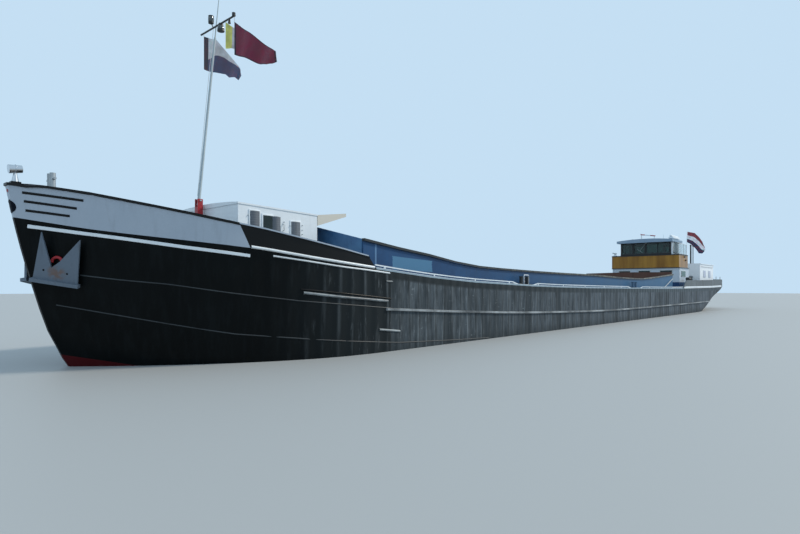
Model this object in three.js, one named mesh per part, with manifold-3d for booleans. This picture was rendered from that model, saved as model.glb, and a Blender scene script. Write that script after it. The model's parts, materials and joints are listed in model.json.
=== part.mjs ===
// A canal motor barge as a 1:2 scale model.
// Every length is the full-size vessel's, in millimetres: x runs aft from the stem head,
// y to starboard, z up from the flat bottom. The last group halves it all.
import * as THREE from 'three';
import { mergeVertices } from 'three/addons/utils/BufferGeometryUtils.js';
import Module from 'manifold-3d';

const wasm = await Module();
wasm.setup();

// Driving dimensions
const MODEL_SCALE = 1 / 2;
const LENGTH = 60000;
const HALF_BEAM = 4050;
const DRAUGHT = 750;
const GAP = 0.7;
const STEM_HALF_WIDTH = 60;
const ENTRANCE_END = 9000;

// Colours
const BLACK_HULL = 0x17191b;
const WHITE = 0xe3e8ec;
const BLUE = 0x1f4f86;
const RED = 0x7d1f22;
const STEEL_GREY = 0x8f9497;
const PALE_GREY = 0xc9cbc8;
const VARNISH = 0xa8722f;
const ROOF_BLUE = 0x6c84a5;
const DARK = 0x25282b;
const HOLD_BROWN = 0x5c3b2c;

// Height of the deck edge, as [x, z]
const SHEER = [
  [0, 4610], [1700, 4280], [4700, 3940], [8860, 3480], [11880, 3230], [14470, 3085], [17070, 3000],
  [19320, 2930], [24450, 2840], [43450, 2735], [52000, 2790], [LENGTH, 2930],
];
// Profile of the stem, as [z, x]
const STEM = [
  [0, 3300], [300, 2150], [750, 1420], [1310, 1130], [1850, 885], [2160, 790],
  [2830, 600], [3630, 385], [4570, 170], [5460, 0],
];
// Shape of the hull at each level. Up to the waterline z is fixed, above it z is a share of
// the way to the deck edge. The stern closes as (1 - v^power)^round from runStart to end.
const HULL_LEVELS = [
  { z: 0, half: 3650, runStart: 45000, end: 54000, power: 2, round: 1 },
  { z: 110, half: 3920, runStart: 45200, end: 54300, power: 2, round: 1 },
  { z: 320, half: 4030, runStart: 45600, end: 54900, power: 2.2, round: 1 },
  { z: DRAUGHT, half: HALF_BEAM, runStart: 47000, end: 55700, power: 2.2, round: 0.8 },
  { share: 0.06, half: HALF_BEAM, runStart: 47600, end: 55900, power: 2, round: 0.75 },
  { share: 0.13, half: HALF_BEAM, runStart: 48250, end: 56150, power: 2, round: 0.68 },
  { share: 0.25, half: HALF_BEAM, runStart: 49200, end: 56500, power: 2, round: 0.6 },
  { share: 0.4, half: HALF_BEAM, runStart: 50100, end: 57000, power: 2, round: 0.55 },
  { share: 0.55, half: HALF_BEAM, runStart: 51100, end: 57500, power: 2, round: 0.5 },
  { share: 0.68, half: HALF_BEAM, runStart: 52500, end: 58250, power: 2, round: 0.5 },
  { share: 0.8, half: HALF_BEAM, runStart: 53900, end: 59100, power: 2, round: 0.5 },
  { share: 0.9, half: HALF_BEAM, runStart: 54900, end: 59650, power: 2, round: 0.5 },
  { share: 1, half: HALF_BEAM, runStart: 55500, end: LENGTH, power: 2, round: 0.5 },
];
const ENTRANCE_STEPS = [0, 0.01, 0.03, 0.06, 0.1, 0.15, 0.21, 0.28, 0.36, 0.46, 0.57, 0.7, 0.84, 1];
const MIDDLE_STEPS = [0.03, 0.06, 0.09, 0.12, 0.17, 0.22, 0.28, 0.36, 0.48, 0.62, 0.8, 1];
const RUN_STEPS = [0.15, 0.3, 0.45, 0.6, 0.72, 0.82, 0.9, 0.96, 1];

// Cargo hold and engine space
const HOLD = { front: 9000, back: 42400, half: 3400, floor: 160 };
const ENGINE_SPACE = { front: 47200, back: 52700, half: 1700, floor: 250 };
const COAMING_THICKNESS = 60;
// Top of the coaming's sides, as [x, z]
const COAMING_TOP = [
  [8900, 4440], [10800, 4215], [12560, 4044], [15100, 3745], [18200, 3654],
  [23260, 3580], [27670, 3550], [30430, 3480], [34940, 3420], [37600, 3530], [42400, 3835],
];
const COAMING_FORE_END = { sideTop: 4420, crown: 5010 };
const COAMING_AFT_END = { sideTop: 3980, crown: 4020 };


// Bulwarks, as [x, height above the deck edge]
const BOW_BULWARK = {
  end: 8920, topEnd: 8610, thickness: 60, flare: 0.194, railWidth: 110, railHeight: 60, breasthookEnd: 720,
};
const BOW_BULWARK_HEIGHT = [[0, 850], [1700, 760], [4140, 560], [8570, 330], [8920, 320]];
const STERN_BULWARK = { start: 43190, topStart: 44070, thickness: 60 };
const STERN_BULWARK_HEIGHT = [[43190, 640], [52000, 650], [LENGTH, 690]];

// Rubbing strake along the side, as [x, z]
const STRAKE = { front: 9400, back: 53500, stand: 70, height: 120 };
const STRAKE_HEIGHT = [
  [9400, 2130], [13650, 1910], [20050, 1665], [30150, 1493], [46850, 1540], [54000, 1600],
];

// Searchlight on the stem head, on a seat joined to the bulwark
const SEARCHLIGHT = { x: 215, base: 5470, axis: 5790, radius: 110, length: 290 };

// Toe rail on the deck edge, in lengths that slope down to the deck where it opens
const TOE_RAIL = { inset: 60, rise: 65, height: 40, ramp: 450, postSpacing: 2600, stripRise: 14 };
const TOE_RAIL_LENGTHS = [
  { front: 8960, back: 17917, postFrom: 9400 },
  { front: 19317, back: 31785, postFrom: 19800 },
  { front: 33609, back: 43000, postFrom: 35400 },
];

// Houses
const FORE_HOUSE = { front: 5300, back: 8300, half: 1930, roofFront: 5430, roofBack: 5338, wall: 60 };
const FORE_HOUSE_WINDOWS = [
  { x: 5700, width: 320, bottom: 4640, top: 5135 },
  { x: 6155, width: 340, bottom: 4590, top: 5050 },
  { x: 7220, width: 345, bottom: 4440, top: 4935 },
];
const AFT_HOUSE = { front: 46750, back: 49500, half: 2800, top: 4430, wall: 60 };
const ENGINE_CASING = { front: 49510, back: 52390, half: 2400, top: 3840, plate: 60 };
const CABIN = { front: 52400, back: 57300, half: 3000, top: 4920, wall: 60 };
const ROOF_EDGE = 60;
const WHEELHOUSE_BASE = AFT_HOUSE.top + ROOF_EDGE + 2 * GAP;
const WHEELHOUSE_FLOOR = WHEELHOUSE_BASE + 20;
const DODGER = { front: 46600, back: 49200, half: 2800, base: WHEELHOUSE_BASE, top: 5520, wall: 60 };
const SHELF_TOP = DODGER.top + 80;
const WHEELHOUSE = { front: 46900, back: 49240, half: 2130, base: WHEELHOUSE_BASE, top: 6680, wall: 60 };

// Mast
const MAST = { x: 5120, pivot: 5560, rake: THREE.MathUtils.degToRad(6), length: 7200, radius: 50 };
const YARD = { up: 5640, ahead: 90, starboardEnd: 770, portEnd: -1257, radius: 28 };

// Propeller and rudder
const SHAFT_HEIGHT = 620;
const PROPELLER = { x: 56560, radius: 480, hubRadius: 100, hubLength: 300, blades: 4 };
const RUDDER = { stockX: 57900, top: 1400, bottom: 120, ahead: 350, astern: 900, thickness: 90 };

const smoothValue = (rows, at) => {
  const last = rows.length - 1;
  if (at <= rows[0][0]) return rows[0][1];
  if (at >= rows[last][0]) return rows[last][1];
  const k = rows.findIndex((row) => row[0] > at) - 1;
  const slope = (i) => (rows[i + 1][1] - rows[i][1]) / (rows[i + 1][0] - rows[i][0]);
  const tangent = (i) => {
    if (i === 0) return slope(0);
    if (i === last) return slope(last - 1);
    const before = slope(i - 1);
    const after = slope(i);
    return before * after <= 0 ? 0 : (2 * before * after) / (before + after);
  };
  const width = rows[k + 1][0] - rows[k][0];
  const s = (at - rows[k][0]) / width;
  const start = rows[k][1] * (1 + 2 * s) * (1 - s) ** 2 + tangent(k) * width * s * (1 - s) ** 2;
  const finish = rows[k + 1][1] * s * s * (3 - 2 * s) + tangent(k + 1) * width * s * s * (s - 1);
  return start + finish;
};

// Solids

// A closed surface through rings of [x, y, z] points. Each ring has an even count, and the
// ends close by rungs between its opposite points.
const loft = (rings) => {
  const count = rings[0].length;
  const faces = [];
  for (let r = 0; r + 1 < rings.length; r += 1) {
    for (let i = 0; i < count; i += 1) {
      const a = r * count + i;
      const b = r * count + ((i + 1) % count);
      faces.push([a, b, b + count], [a, b + count, a + count]);
    }
  }
  const cap = (offset, flip) => {
    for (let i = 0; i + 1 < count / 2; i += 1) {
      const quad = [i, i + 1, count - 2 - i, count - 1 - i].map((k) => k + offset);
      if (flip) quad.reverse();
      faces.push([quad[0], quad[1], quad[2]], [quad[0], quad[2], quad[3]]);
    }
  };
  cap(0, true);
  cap((rings.length - 1) * count, false);
  const points = rings.flat();
  const volume = faces.reduce((sum, [a, b, c]) => {
    const [p, q, r] = [points[a], points[b], points[c]].map((v) => new THREE.Vector3(...v));
    return sum + p.dot(q.cross(r));
  }, 0);
  const geometry = new THREE.BufferGeometry();
  geometry.setAttribute('position', new THREE.Float32BufferAttribute(points.flat(), 3));
  geometry.setIndex(faces.flatMap(([a, b, c]) => (volume < 0 ? [a, c, b] : [a, b, c])));
  return geometry;
};

const toManifold = (geometry) => {
  const bare = geometry.clone();
  bare.deleteAttribute('normal');
  bare.deleteAttribute('uv');
  const merged = mergeVertices(bare, 1e-4);
  return new wasm.Manifold(new wasm.Mesh({
    numProp: 3,
    vertProperties: new Float32Array(merged.attributes.position.array),
    triVerts: new Uint32Array(merged.index.array),
  }));
};

const fromManifold = (solid) => {
  const mesh = solid.getMesh();
  const geometry = new THREE.BufferGeometry();
  geometry.setAttribute('position', new THREE.Float32BufferAttribute(mesh.vertProperties, 3));
  geometry.setIndex(Array.from(mesh.triVerts));
  return geometry;
};

// The first solid with others joined to it, then others cut from it.
const shape = (base, { add = [], cut = [] }) => {
  const joined = add.reduce((solid, piece) => solid.add(toManifold(piece)), toManifold(base));
  return fromManifold(cut.reduce((solid, piece) => solid.subtract(toManifold(piece)), joined));
};

// A box between two corners.
const block = (x0, x1, y0, y1, z0, z1) => {
  const geometry = new THREE.BoxGeometry(x1 - x0, y1 - y0, z1 - z0);
  return geometry.translate((x0 + x1) / 2, (y0 + y1) / 2, (z0 + z1) / 2);
};

// A prism across the beam, inside an outline of [x, z] points.
const prism = (outline, y0, y1) => {
  const face = new THREE.Shape(outline.map(([x, z]) => new THREE.Vector2(x, z)));
  const solid = new THREE.ExtrudeGeometry(face, { depth: y1 - y0, bevelEnabled: false });
  return solid.rotateX(Math.PI / 2).translate(0, y1, 0);
};

// A round bar between two points.
const bar = (from, to, radius, sides = 12, endRadius = radius) => {
  const start = new THREE.Vector3(...from);
  const along = new THREE.Vector3(...to).sub(start);
  const geometry = new THREE.CylinderGeometry(endRadius, radius, along.length(), sides);
  geometry.translate(0, along.length() / 2, 0);
  const turn = new THREE.Quaternion().setFromUnitVectors(new THREE.Vector3(0, 1, 0), along.normalize());
  return geometry.applyQuaternion(turn).translate(start.x, start.y, start.z);
};

const mirrored = (geometry) => {
  const copy = geometry.clone().scale(1, -1, 1);
  const index = Array.from(copy.index.array);
  for (let i = 0; i < index.length; i += 3) [index[i + 1], index[i + 2]] = [index[i + 2], index[i + 1]];
  copy.setIndex(index);
  return copy;
};

// Hull form

const stemAt = (z) => smoothValue(STEM, z);
const sheerAt = (x) => smoothValue(SHEER, x);

// The x and half-breadth of a level at one station.
const levelPoint = (level, part, step, z) => {
  const stem = stemAt(z);
  if (part === 'entrance') {
    const half = STEM_HALF_WIDTH + (level.half - STEM_HALF_WIDTH) * (1 - (1 - step) ** 2);
    return { x: stem + step * (ENTRANCE_END - stem), half };
  }
  if (part === 'middle') {
    return { x: ENTRANCE_END + step * (level.runStart - ENTRANCE_END), half: level.half };
  }
  const endHalf = 150;
  const half = endHalf + (level.half - endHalf) * (1 - step ** level.power) ** level.round;
  return { x: level.runStart + step * (level.end - level.runStart), half };
};

const STATIONS = [
  ...ENTRANCE_STEPS.map((step) => ({ part: 'entrance', step })),
  ...MIDDLE_STEPS.map((step) => ({ part: 'middle', step })),
  ...RUN_STEPS.map((step) => ({ part: 'run', step })),
];

// One station's points from the bottom to the deck edge.
const stationPoints = ({ part, step }) => {
  const deckLevel = HULL_LEVELS[HULL_LEVELS.length - 1];
  const deck = levelPoint(deckLevel, part, step, SHEER[0][1]);
  const deckZ = sheerAt(deck.x);
  return HULL_LEVELS.map((level) => {
    const z = level.share === undefined ? level.z : DRAUGHT + level.share * (deckZ - DRAUGHT);
    return { ...levelPoint(level, part, step, z), z };
  });
};

// The hull's solid, grown by a small amount where it serves as a cutter.
const hullBody = (grow = 0) => loft(STATIONS.map((station, index) => {
  const points = stationPoints(station);
  const push = index === 0 ? -grow : index === STATIONS.length - 1 ? grow : 0;
  const lift = (k) => (k === 0 ? -grow : k === points.length - 1 ? grow : 0);
  const side = (sign) => points.map((p, k) => [p.x + push, sign * (p.half + grow), p.z + lift(k)]);
  return [...side(-1), ...side(1).reverse()];
}));

const SIDES = STATIONS.map(stationPoints);
const DECK_EDGE = SIDES.map((points) => points.at(-1));

// Height of the deck between its stations.
const deckAt = (x) => {
  const k = DECK_EDGE.findIndex((p) => p.x > x);
  if (k < 0) return DECK_EDGE.at(-1).z;
  const [before, after] = [DECK_EDGE[Math.max(k - 1, 0)], DECK_EDGE[Math.max(k, 1)]];
  return before.z + ((x - before.x) / (after.x - before.x)) * (after.z - before.z);
};

// Half-breadth of the hull's side at any x and z, between its stations.
const halfBreadth = (x, z) => {
  const waterline = SIDES.map((points) => {
    const found = points.findIndex((p) => p.z >= z);
    const k = found < 0 ? points.length - 1 : Math.max(1, found);
    const [low, high] = [points[k - 1], points[k]];
    const share = THREE.MathUtils.clamp((z - low.z) / (high.z - low.z), 0, 1);
    return { x: low.x + share * (high.x - low.x), half: low.half + share * (high.half - low.half) };
  });
  const k = waterline.findIndex((p) => p.x > x);
  if (k === 0) return 0;
  if (k < 0) return waterline.at(-1).half;
  const [before, after] = [waterline[k - 1], waterline[k]];
  return before.half + ((x - before.x) / (after.x - before.x)) * (after.half - before.half);
};

// Port deck edge from bow to stern, as points.
const deckEdge = (x0, x1) => {
  const inside = DECK_EDGE.filter((p) => p.x > x0 + 50 && p.x < x1 - 50);
  const end = (x) => ({ x, half: halfBreadth(x, deckAt(x)), z: deckAt(x) });
  const first = x0 <= DECK_EDGE[0].x ? [] : [end(x0)];
  const last = x1 >= DECK_EDGE.at(-1).x ? [DECK_EDGE.at(-1)] : [end(x1)];
  return [...first, ...inside, ...last];
};

// A path of port points carried round the end to starboard.
const roundTheEnd = (port, atBow) => {
  const order = atBow ? [...port].reverse() : port;
  const there = order.map((p) => new THREE.Vector3(p.x, -p.half, p.z));
  const back = order.map((p) => new THREE.Vector3(p.x, p.half, p.z)).reverse();
  return [...there, ...back];
};

// A flat section swept along a path: each corner is [outward, up] from the path point, and
// outward is to the left or right of the path in plan.
const sweep = (path, outwardSide, corners) => {
  const up = new THREE.Vector3(0, 0, 1);
  return loft(path.map((point, i) => {
    const before = path[Math.max(0, i - 1)];
    const after = path[Math.min(path.length - 1, i + 1)];
    const into = point.clone().sub(before).setZ(0).normalize();
    const out = after.clone().sub(point).setZ(0).normalize();
    const along = into.add(out).normalize();
    const outward = along.clone().cross(up).multiplyScalar(outwardSide);
    return corners(point, i).map(([sideways, rise]) => point.clone().addScaledVector(outward, sideways)
      .add(new THREE.Vector3(0, 0, rise)).toArray());
  }));
};

const hullCutter = hullBody(GAP);

const hold = block(HOLD.front, HOLD.back, -HOLD.half, HOLD.half, HOLD.floor, 6000);
const engineSpace = block(
  ENGINE_SPACE.front, ENGINE_SPACE.back, -ENGINE_SPACE.half, ENGINE_SPACE.half, ENGINE_SPACE.floor, 6000,
);
const STOCK_RADIUS = 65;
const STOCK_TOP = 2300;
const rudderTrunk = bar([RUDDER.stockX, 0, 1000], [RUDDER.stockX, 0, STOCK_TOP], STOCK_RADIUS + 12, 20);
const hull = () => shape(hullBody(), { cut: [hold, engineSpace, rudderTrunk] });

// Bulwarks and strakes

// What is cut off to slope a bulwark's end, from its foot on the deck to its top.
const endSlope = (foot, top, rise, beyond) => {
  const [z0, z1] = [deckAt(foot) + GAP, deckAt(top) + rise];
  const lean = (top - foot) / (z1 - z0);
  const [low, high] = [z0 - 400, z1 + 400];
  return prism([
    [foot + lean * (low - z0), low], [beyond, low], [beyond, high], [foot + lean * (high - z0), high],
  ], -LENGTH, LENGTH);
};

const bowLean = (x) => (
  smoothValue(BOW_BULWARK_HEIGHT, x) * BOW_BULWARK.flare * Math.max(0, 1 - x / BOW_BULWARK.end)
);

// The bow's bulwark plating with its cap rail.
const bowBulwark = () => {
  const path = roundTheEnd(deckEdge(0, BOW_BULWARK.end), true);
  const { thickness, railWidth, railHeight } = BOW_BULWARK;
  const section = (corners) => sweep(path, -1, (point) => (
    corners(smoothValue(BOW_BULWARK_HEIGHT, point.x), bowLean(point.x))
  ));
  const plating = section((height, lean) => [
    [0, GAP], [lean, height], [lean - thickness, height], [-thickness, GAP],
  ]);
  const margin = (railWidth - thickness) / 2;
  const rail = section((height, lean) => [
    [lean + margin, height - railHeight], [lean + margin, height],
    [lean - thickness - margin, height], [lean - thickness - margin, height - railHeight],
  ]);
  const breasthook = loft([180, BOW_BULWARK.breasthookEnd].map((x) => {
    const top = deckAt(x) + smoothValue(BOW_BULWARK_HEIGHT, x) - 10;
    const half = halfBreadth(x, deckAt(x)) + bowLean(x) - thickness / 2;
    return [[x, -half, top], [x, half, top], [x, half, top - 30], [x, -half, top - 30]];
  }));
  const { x: lightX, base } = SEARCHLIGHT;
  const lightSeat = block(lightX - 110, lightX + 110, -90, 90, base - 120, base);
  const { end, topEnd } = BOW_BULWARK;
  const slope = endSlope(end, topEnd, smoothValue(BOW_BULWARK_HEIGHT, topEnd), end + 800);
  return shape(plating, { add: [rail, breasthook, lightSeat], cut: [slope] });
};

const sternBulwark = () => {
  const { start, topStart, thickness } = STERN_BULWARK;
  const path = roundTheEnd(deckEdge(start, LENGTH), false);
  const plating = sweep(path, 1, (point) => {
    const height = smoothValue(STERN_BULWARK_HEIGHT, point.x);
    return [[0, GAP], [0, height], [-thickness, height], [-thickness, GAP]];
  });
  const slope = endSlope(start, topStart, smoothValue(STERN_BULWARK_HEIGHT, topStart), start - 2000);
  return shape(plating, { cut: [slope] });
};

const rubbingStrake = () => {
  const steps = 24;
  const path = Array.from({ length: steps + 1 }, (_, i) => {
    const x = STRAKE.front + (i / steps) * (STRAKE.back - STRAKE.front);
    const z = smoothValue(STRAKE_HEIGHT, x);
    return new THREE.Vector3(x, -halfBreadth(x, z), z);
  });
  const { stand, height } = STRAKE;
  const solid = sweep(path, 1, () => [
    [-60, -height / 2], [stand, -height / 4], [stand, height / 4], [-60, height / 2],
  ]);
  return shape(solid, { cut: [hullCutter] });
};

// The rail's lengths and posts, on a flat strip along the deck edge.
const toeRail = () => {
  const { inset, rise, height, ramp, postSpacing, stripRise } = TOE_RAIL;
  const half = height / 2;
  const edge = deckEdge(TOE_RAIL_LENGTHS[0].front, TOE_RAIL_LENGTHS.at(-1).back);
  const strip = sweep(edge.map((p) => new THREE.Vector3(p.x, inset - p.half, p.z)), 1, () => [
    [-half - 10, -10], [half + 10, -10], [half + 10, stripRise], [-half - 10, stripRise],
  ]);
  const lengths = TOE_RAIL_LENGTHS.map(({ front, back }, index) => {
    const firstSlope = index === 0 ? 0 : ramp;
    const lastSlope = index === TOE_RAIL_LENGTHS.length - 1 ? 0 : ramp;
    const bends = [front, front + firstSlope, ...DECK_EDGE.map((p) => p.x), back - lastSlope, back];
    const places = [...new Set(bends)].filter((x) => x >= front && x <= back).sort((p, q) => p - q);
    const drop = (x) => {
      const into = firstSlope ? (x - front) / firstSlope : 1;
      const out = lastSlope ? (back - x) / lastSlope : 1;
      return (1 - Math.min(1, into, out)) * (rise + half);
    };
    const path = places.map((x) => {
      const deck = deckAt(x);
      return new THREE.Vector3(x, inset - halfBreadth(x, deck), deck + rise - drop(x));
    });
    return sweep(path, 1, () => [[-half, 0], [half, 0], [half, height], [-half, height]]);
  });
  const posts = TOE_RAIL_LENGTHS.flatMap(({ back, postFrom }) => {
    const count = Math.floor((back - ramp - postFrom) / postSpacing) + 1;
    return Array.from({ length: count }, (_, i) => {
      const x = postFrom + i * postSpacing;
      const y = inset - HALF_BEAM;
      return block(x - 25, x + 25, y - half, y + half, deckAt(x) - 60, deckAt(x) + rise + 10);
    });
  });
  return shape(strip, { add: [...lengths, ...posts], cut: [hullCutter] });
};

// Coaming round the hold

const coamingSide = () => {
  const steps = 20;
  const { front, back, half } = HOLD;
  const solid = loft(Array.from({ length: steps + 1 }, (_, i) => {
    const x = front - 50 + (i / steps) * (back - front + 100);
    const top = smoothValue(COAMING_TOP, x);
    const bottom = deckAt(x) - 100;
    const [inner, outer] = [-half, -half - COAMING_THICKNESS];
    return [[x, outer, bottom], [x, outer, top - 90], [x, outer - 70, top - 80], [x, outer - 70, top],
      [x, inner, top], [x, inner, top - 80], [x, inner, top - 90], [x, inner, bottom]];
  }));
  return shape(solid, { cut: [hullCutter] });
};

const coamingEnd = (x, { sideTop, crown }) => {
  const side = HOLD.half - GAP;
  const crownHalf = 900;
  const outline = new THREE.Shape([
    [-side, 0], [side, 0], [side, sideTop], [crownHalf, crown], [-crownHalf, crown], [-side, sideTop],
  ].map(([y, z]) => new THREE.Vector2(y, z)));
  const plate = new THREE.ExtrudeGeometry(outline, { depth: COAMING_THICKNESS, bevelEnabled: false });
  plate.applyMatrix4(new THREE.Matrix4().set(0, 0, 1, x, 1, 0, 0, 0, 0, 1, 0, 0, 0, 0, 0, 1));
  return shape(plate, { cut: [hullCutter] });
};

// Houses

// Four walls with no floor or roof, with openings cut through them.
const walls = ({ front, back, half, base, top, topBack = top, wall }, cuts) => {
  const end = (x, z) => [[x, -half, base], [x, half, base], [x, half, z], [x, -half, z]];
  const outer = loft([end(front, top), end(back, topBack)]);
  const inner = block(
    front + wall, back - wall, -half + wall, half - wall, base - 500, Math.max(top, topBack) + 500,
  );
  return shape(outer, { cut: [inner, ...cuts] });
};

// A roof slab with a cambered top.
const roof = ({ x0, x1, half, z0, z1 = z0, rise, edge }) => {
  const steps = 8;
  const ring = (x, z) => {
    const top = Array.from({ length: steps + 1 }, (_, i) => {
      const y = -half + (i / steps) * 2 * half;
      return [x, y, z + edge + rise * (1 - (y / half) ** 2)];
    });
    const bottom = top.map(([, y]) => [x, y, z]).reverse();
    return [...top, ...bottom];
  };
  return loft([ring(x0, z0), ring(x1, z1)]);
};

const foreHouseWalls = () => {
  const { front, back, half, roofFront, roofBack, wall } = FORE_HOUSE;
  const windows = FORE_HOUSE_WINDOWS.flatMap(({ x, width, bottom, top }) => [-1, 1].map((side) => {
    const y = side * half;
    return block(x, x + width, y - 200, y + 200, bottom, top);
  }));
  const doorway = block(back - 200, back + 200, 150, 850, 3750, 5100);
  const box = { front, back, half, base: 3300, top: roofFront - 120, topBack: roofBack - 120, wall };
  const solid = walls(box, windows);
  return shape(solid, { cut: [hullCutter, doorway] });
};

const foreHouseRoof = () => roof({
  x0: FORE_HOUSE.front - 20, x1: FORE_HOUSE.back + 20, half: FORE_HOUSE.half + 20,
  z0: FORE_HOUSE.roofFront - 120 + GAP, z1: FORE_HOUSE.roofBack - 120 + GAP, rise: 90, edge: 50,
});

const foreHouseDoor = () => shape(
  block(FORE_HOUSE.back + 12, FORE_HOUSE.back + 52, 110, 890, 3780, 5120),
  { add: [bar([FORE_HOUSE.back + 40, 230, 4400], [FORE_HOUSE.back + 110, 230, 4400], 18, 8)] },
);

// Awning board behind the house: a thin roof with a deep tapered cheek at each side.
const foreHouseAwning = () => {
  const { back, half, roofBack } = FORE_HOUSE;
  const top = roofBack - 80;
  const x0 = back + 25;
  const reach = 1290;
  const sheet = loft([
    [[x0, -half, top], [x0, half, top], [x0, half, top - 40], [x0, -half, top - 40]],
    [[x0 + reach, -half, top + 170], [x0 + reach, half, top + 170],
      [x0 + reach, half, top + 130], [x0 + reach, -half, top + 130]],
  ]);
  const cheek = (side) => loft([
    [[x0, side * half, top - 5], [x0, side * (half - 30), top - 5],
      [x0, side * (half - 30), top - 360], [x0, side * half, top - 360]],
    [[x0 + reach, side * half, top + 165], [x0 + reach, side * (half - 30), top + 165],
      [x0 + reach, side * (half - 30), top + 55], [x0 + reach, side * half, top + 55]],
  ]);
  return shape(sheet, { add: [cheek(-1), cheek(1)] });
};

const aftHouseWalls = () => {
  const { front, back, half, top, wall } = AFT_HOUSE;
  const windows = [-2230, -450, 1250].map((y) => block(front - 200, front + 200, y, y + 980, 3700, 4250));
  const sideWindows = [-1, 1].map((side) => (
    block(47250, 48400, side * half - 200, side * half + 200, 3720, 4180)));
  const solid = walls({ front, back, half, base: 2500, top, wall }, [...windows, ...sideWindows]);
  return shape(solid, { cut: [hullCutter] });
};

const aftHouseRoof = () => roof({
  x0: AFT_HOUSE.front - 60, x1: AFT_HOUSE.back, half: AFT_HOUSE.half + 60,
  z0: AFT_HOUSE.top + GAP, rise: 0, edge: ROOF_EDGE,
});

// Low casing over the engine space, between the aft house and the cabin, open below.
const engineCasing = () => {
  const { front, back, half, top, plate } = ENGINE_CASING;
  const inner = block(front + plate, back - plate, -half + plate, half - plate, 2000, top - plate);
  return shape(block(front, back, -half, half, 2500, top), { cut: [inner, hullCutter] });
};

const cabinWalls = () => {
  const { front, back, half, top, wall } = CABIN;
  const portlights = [53600, 55400].flatMap((x) => [-1, 1].map((side) => (
    block(x, x + 700, side * half - 200, side * half + 200, 3750, 4350))));
  const doorway = block(back - 200, back + 200, -350, 350, 3050, 4800);
  const solid = walls({ front, back, half, base: 2500, top, wall }, portlights);
  return shape(solid, { cut: [hullCutter, doorway] });
};

const cabinRoof = () => roof({
  x0: CABIN.front, x1: CABIN.back + 80, half: CABIN.half + 60, z0: CABIN.top + GAP, rise: 60, edge: 50,
});

const cabinDoor = () => shape(
  block(CABIN.back + 12, CABIN.back + 52, -390, 390, 3060, 4790),
  { add: [bar([CABIN.back + 40, -290, 3900], [CABIN.back + 110, -290, 3900], 18, 8)] },
);

// The varnished front and sides round the wheelhouse's foot, open behind.
const dodger = () => {
  const { back, half, wall, base, top } = DODGER;
  const behind = block(back - 100, back + 100, -half + wall, half - wall, base - 500, top + 500);
  return shape(walls(DODGER, []), { cut: [behind] });
};

const dodgerTop = () => {
  const { front, back, half, top } = DODGER;
  const slab = block(front - 20, back, -half - 20, half + 20, top + GAP, SHELF_TOP);
  const well = block(
    WHEELHOUSE.front - 1, back + 500, -WHEELHOUSE.half - 1, WHEELHOUSE.half + 1, top - 100, top + 200,
  );
  return shape(slab, { cut: [well] });
};

const PANES = { sill: 5780, lintel: 6630 };
const WHEELHOUSE_DOOR = { inner: 900, outer: 1640, top: 6560 };
const wheelhouseWalls = () => {
  const { front, back, half, base } = WHEELHOUSE;
  const { sill, lintel } = PANES;
  const { inner, outer, top } = WHEELHOUSE_DOOR;
  const frontPanes = [-1950, -1000, 50, 1100].map((y) => (
    block(front - 200, front + 200, y, y + 900, sill, lintel)));
  const backPane = block(back - 200, back + 200, -750, 750, sill, lintel);
  const sidePanes = [front + 150, front + 1200].flatMap((x) => [-1, 1].map((side) => (
    block(x, x + 950, side * half - 200, side * half + 200, sill, lintel))));
  const doorways = [-1, 1].map((side) => {
    const [y0, y1] = [side * inner, side * outer].sort((a, b) => a - b);
    return block(back - 200, back + 200, y0, y1, base + 60, top);
  });
  return walls(WHEELHOUSE, [...frontPanes, backPane, ...sidePanes, ...doorways]);
};

const wheelhouseDoor = () => {
  const { back, base } = WHEELHOUSE;
  const { inner, outer, top } = WHEELHOUSE_DOOR;
  const panel = block(back + 12, back + 52, -outer - 30, -inner + 30, base + 50, top + 30);
  const pane = block(back - 100, back + 200, -outer + 90, -inner - 90, PANES.sill, top - 90);
  const handle = bar([back + 40, -inner - 60, 5450], [back + 110, -inner - 60, 5450], 16, 8);
  return shape(panel, { add: [handle], cut: [pane] });
};

const wheelhouseRoof = () => roof({
  x0: WHEELHOUSE.front - 450, x1: WHEELHOUSE.back + 150, half: WHEELHOUSE.half + 190,
  z0: WHEELHOUSE.top + GAP, rise: 130, edge: 200,
});

const helmConsole = () => {
  const desk = block(47100, 47650, -900, 900, WHEELHOUSE_FLOOR, 5450);
  const slope = loft([
    [[47100, -900, 5440], [47650, -900, 5440], [47650, -900, 5460], [47100, -900, 5640]],
    [[47100, 900, 5440], [47650, 900, 5440], [47650, 900, 5460], [47100, 900, 5640]],
  ]);
  return shape(desk, { add: [slope] });
};

const HELM = { x: 47800, z: 5250, radius: 330 };
const helmWheel = () => {
  const { x, z, radius } = HELM;
  const rim = new THREE.TorusGeometry(radius, 22, 8, 28).rotateY(Math.PI / 2).translate(x, 0, z);
  const hub = bar([x - 145, 0, z], [x + 30, 0, z], 50, 12);
  const reach = radius + 110;
  const spokes = Array.from({ length: 6 }, (_, i) => {
    const angle = (i * Math.PI) / 3;
    return bar([x, 0, z], [x, Math.sin(angle) * reach, z + Math.cos(angle) * reach], 16, 8);
  });
  return shape(hub, { add: [rim, ...spokes] });
};

const helmChair = () => shape(block(48300, 48800, -260, 260, 5000, 5100), {
  add: [
    block(48740, 48820, -250, 250, 5090, 5750),
    bar([48550, 0, WHEELHOUSE_FLOOR], [48550, 0, 5010], 50, 12),
    bar([48550, 0, WHEELHOUSE_FLOOR], [48550, 0, WHEELHOUSE_FLOOR + 30], 220, 16),
  ],
});

const wheelhouseFloor = () => block(
  WHEELHOUSE.front + 70, WHEELHOUSE.back - 70, -WHEELHOUSE.half + 70, WHEELHOUSE.half - 70,
  WHEELHOUSE_BASE, WHEELHOUSE_FLOOR - GAP,
);

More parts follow.
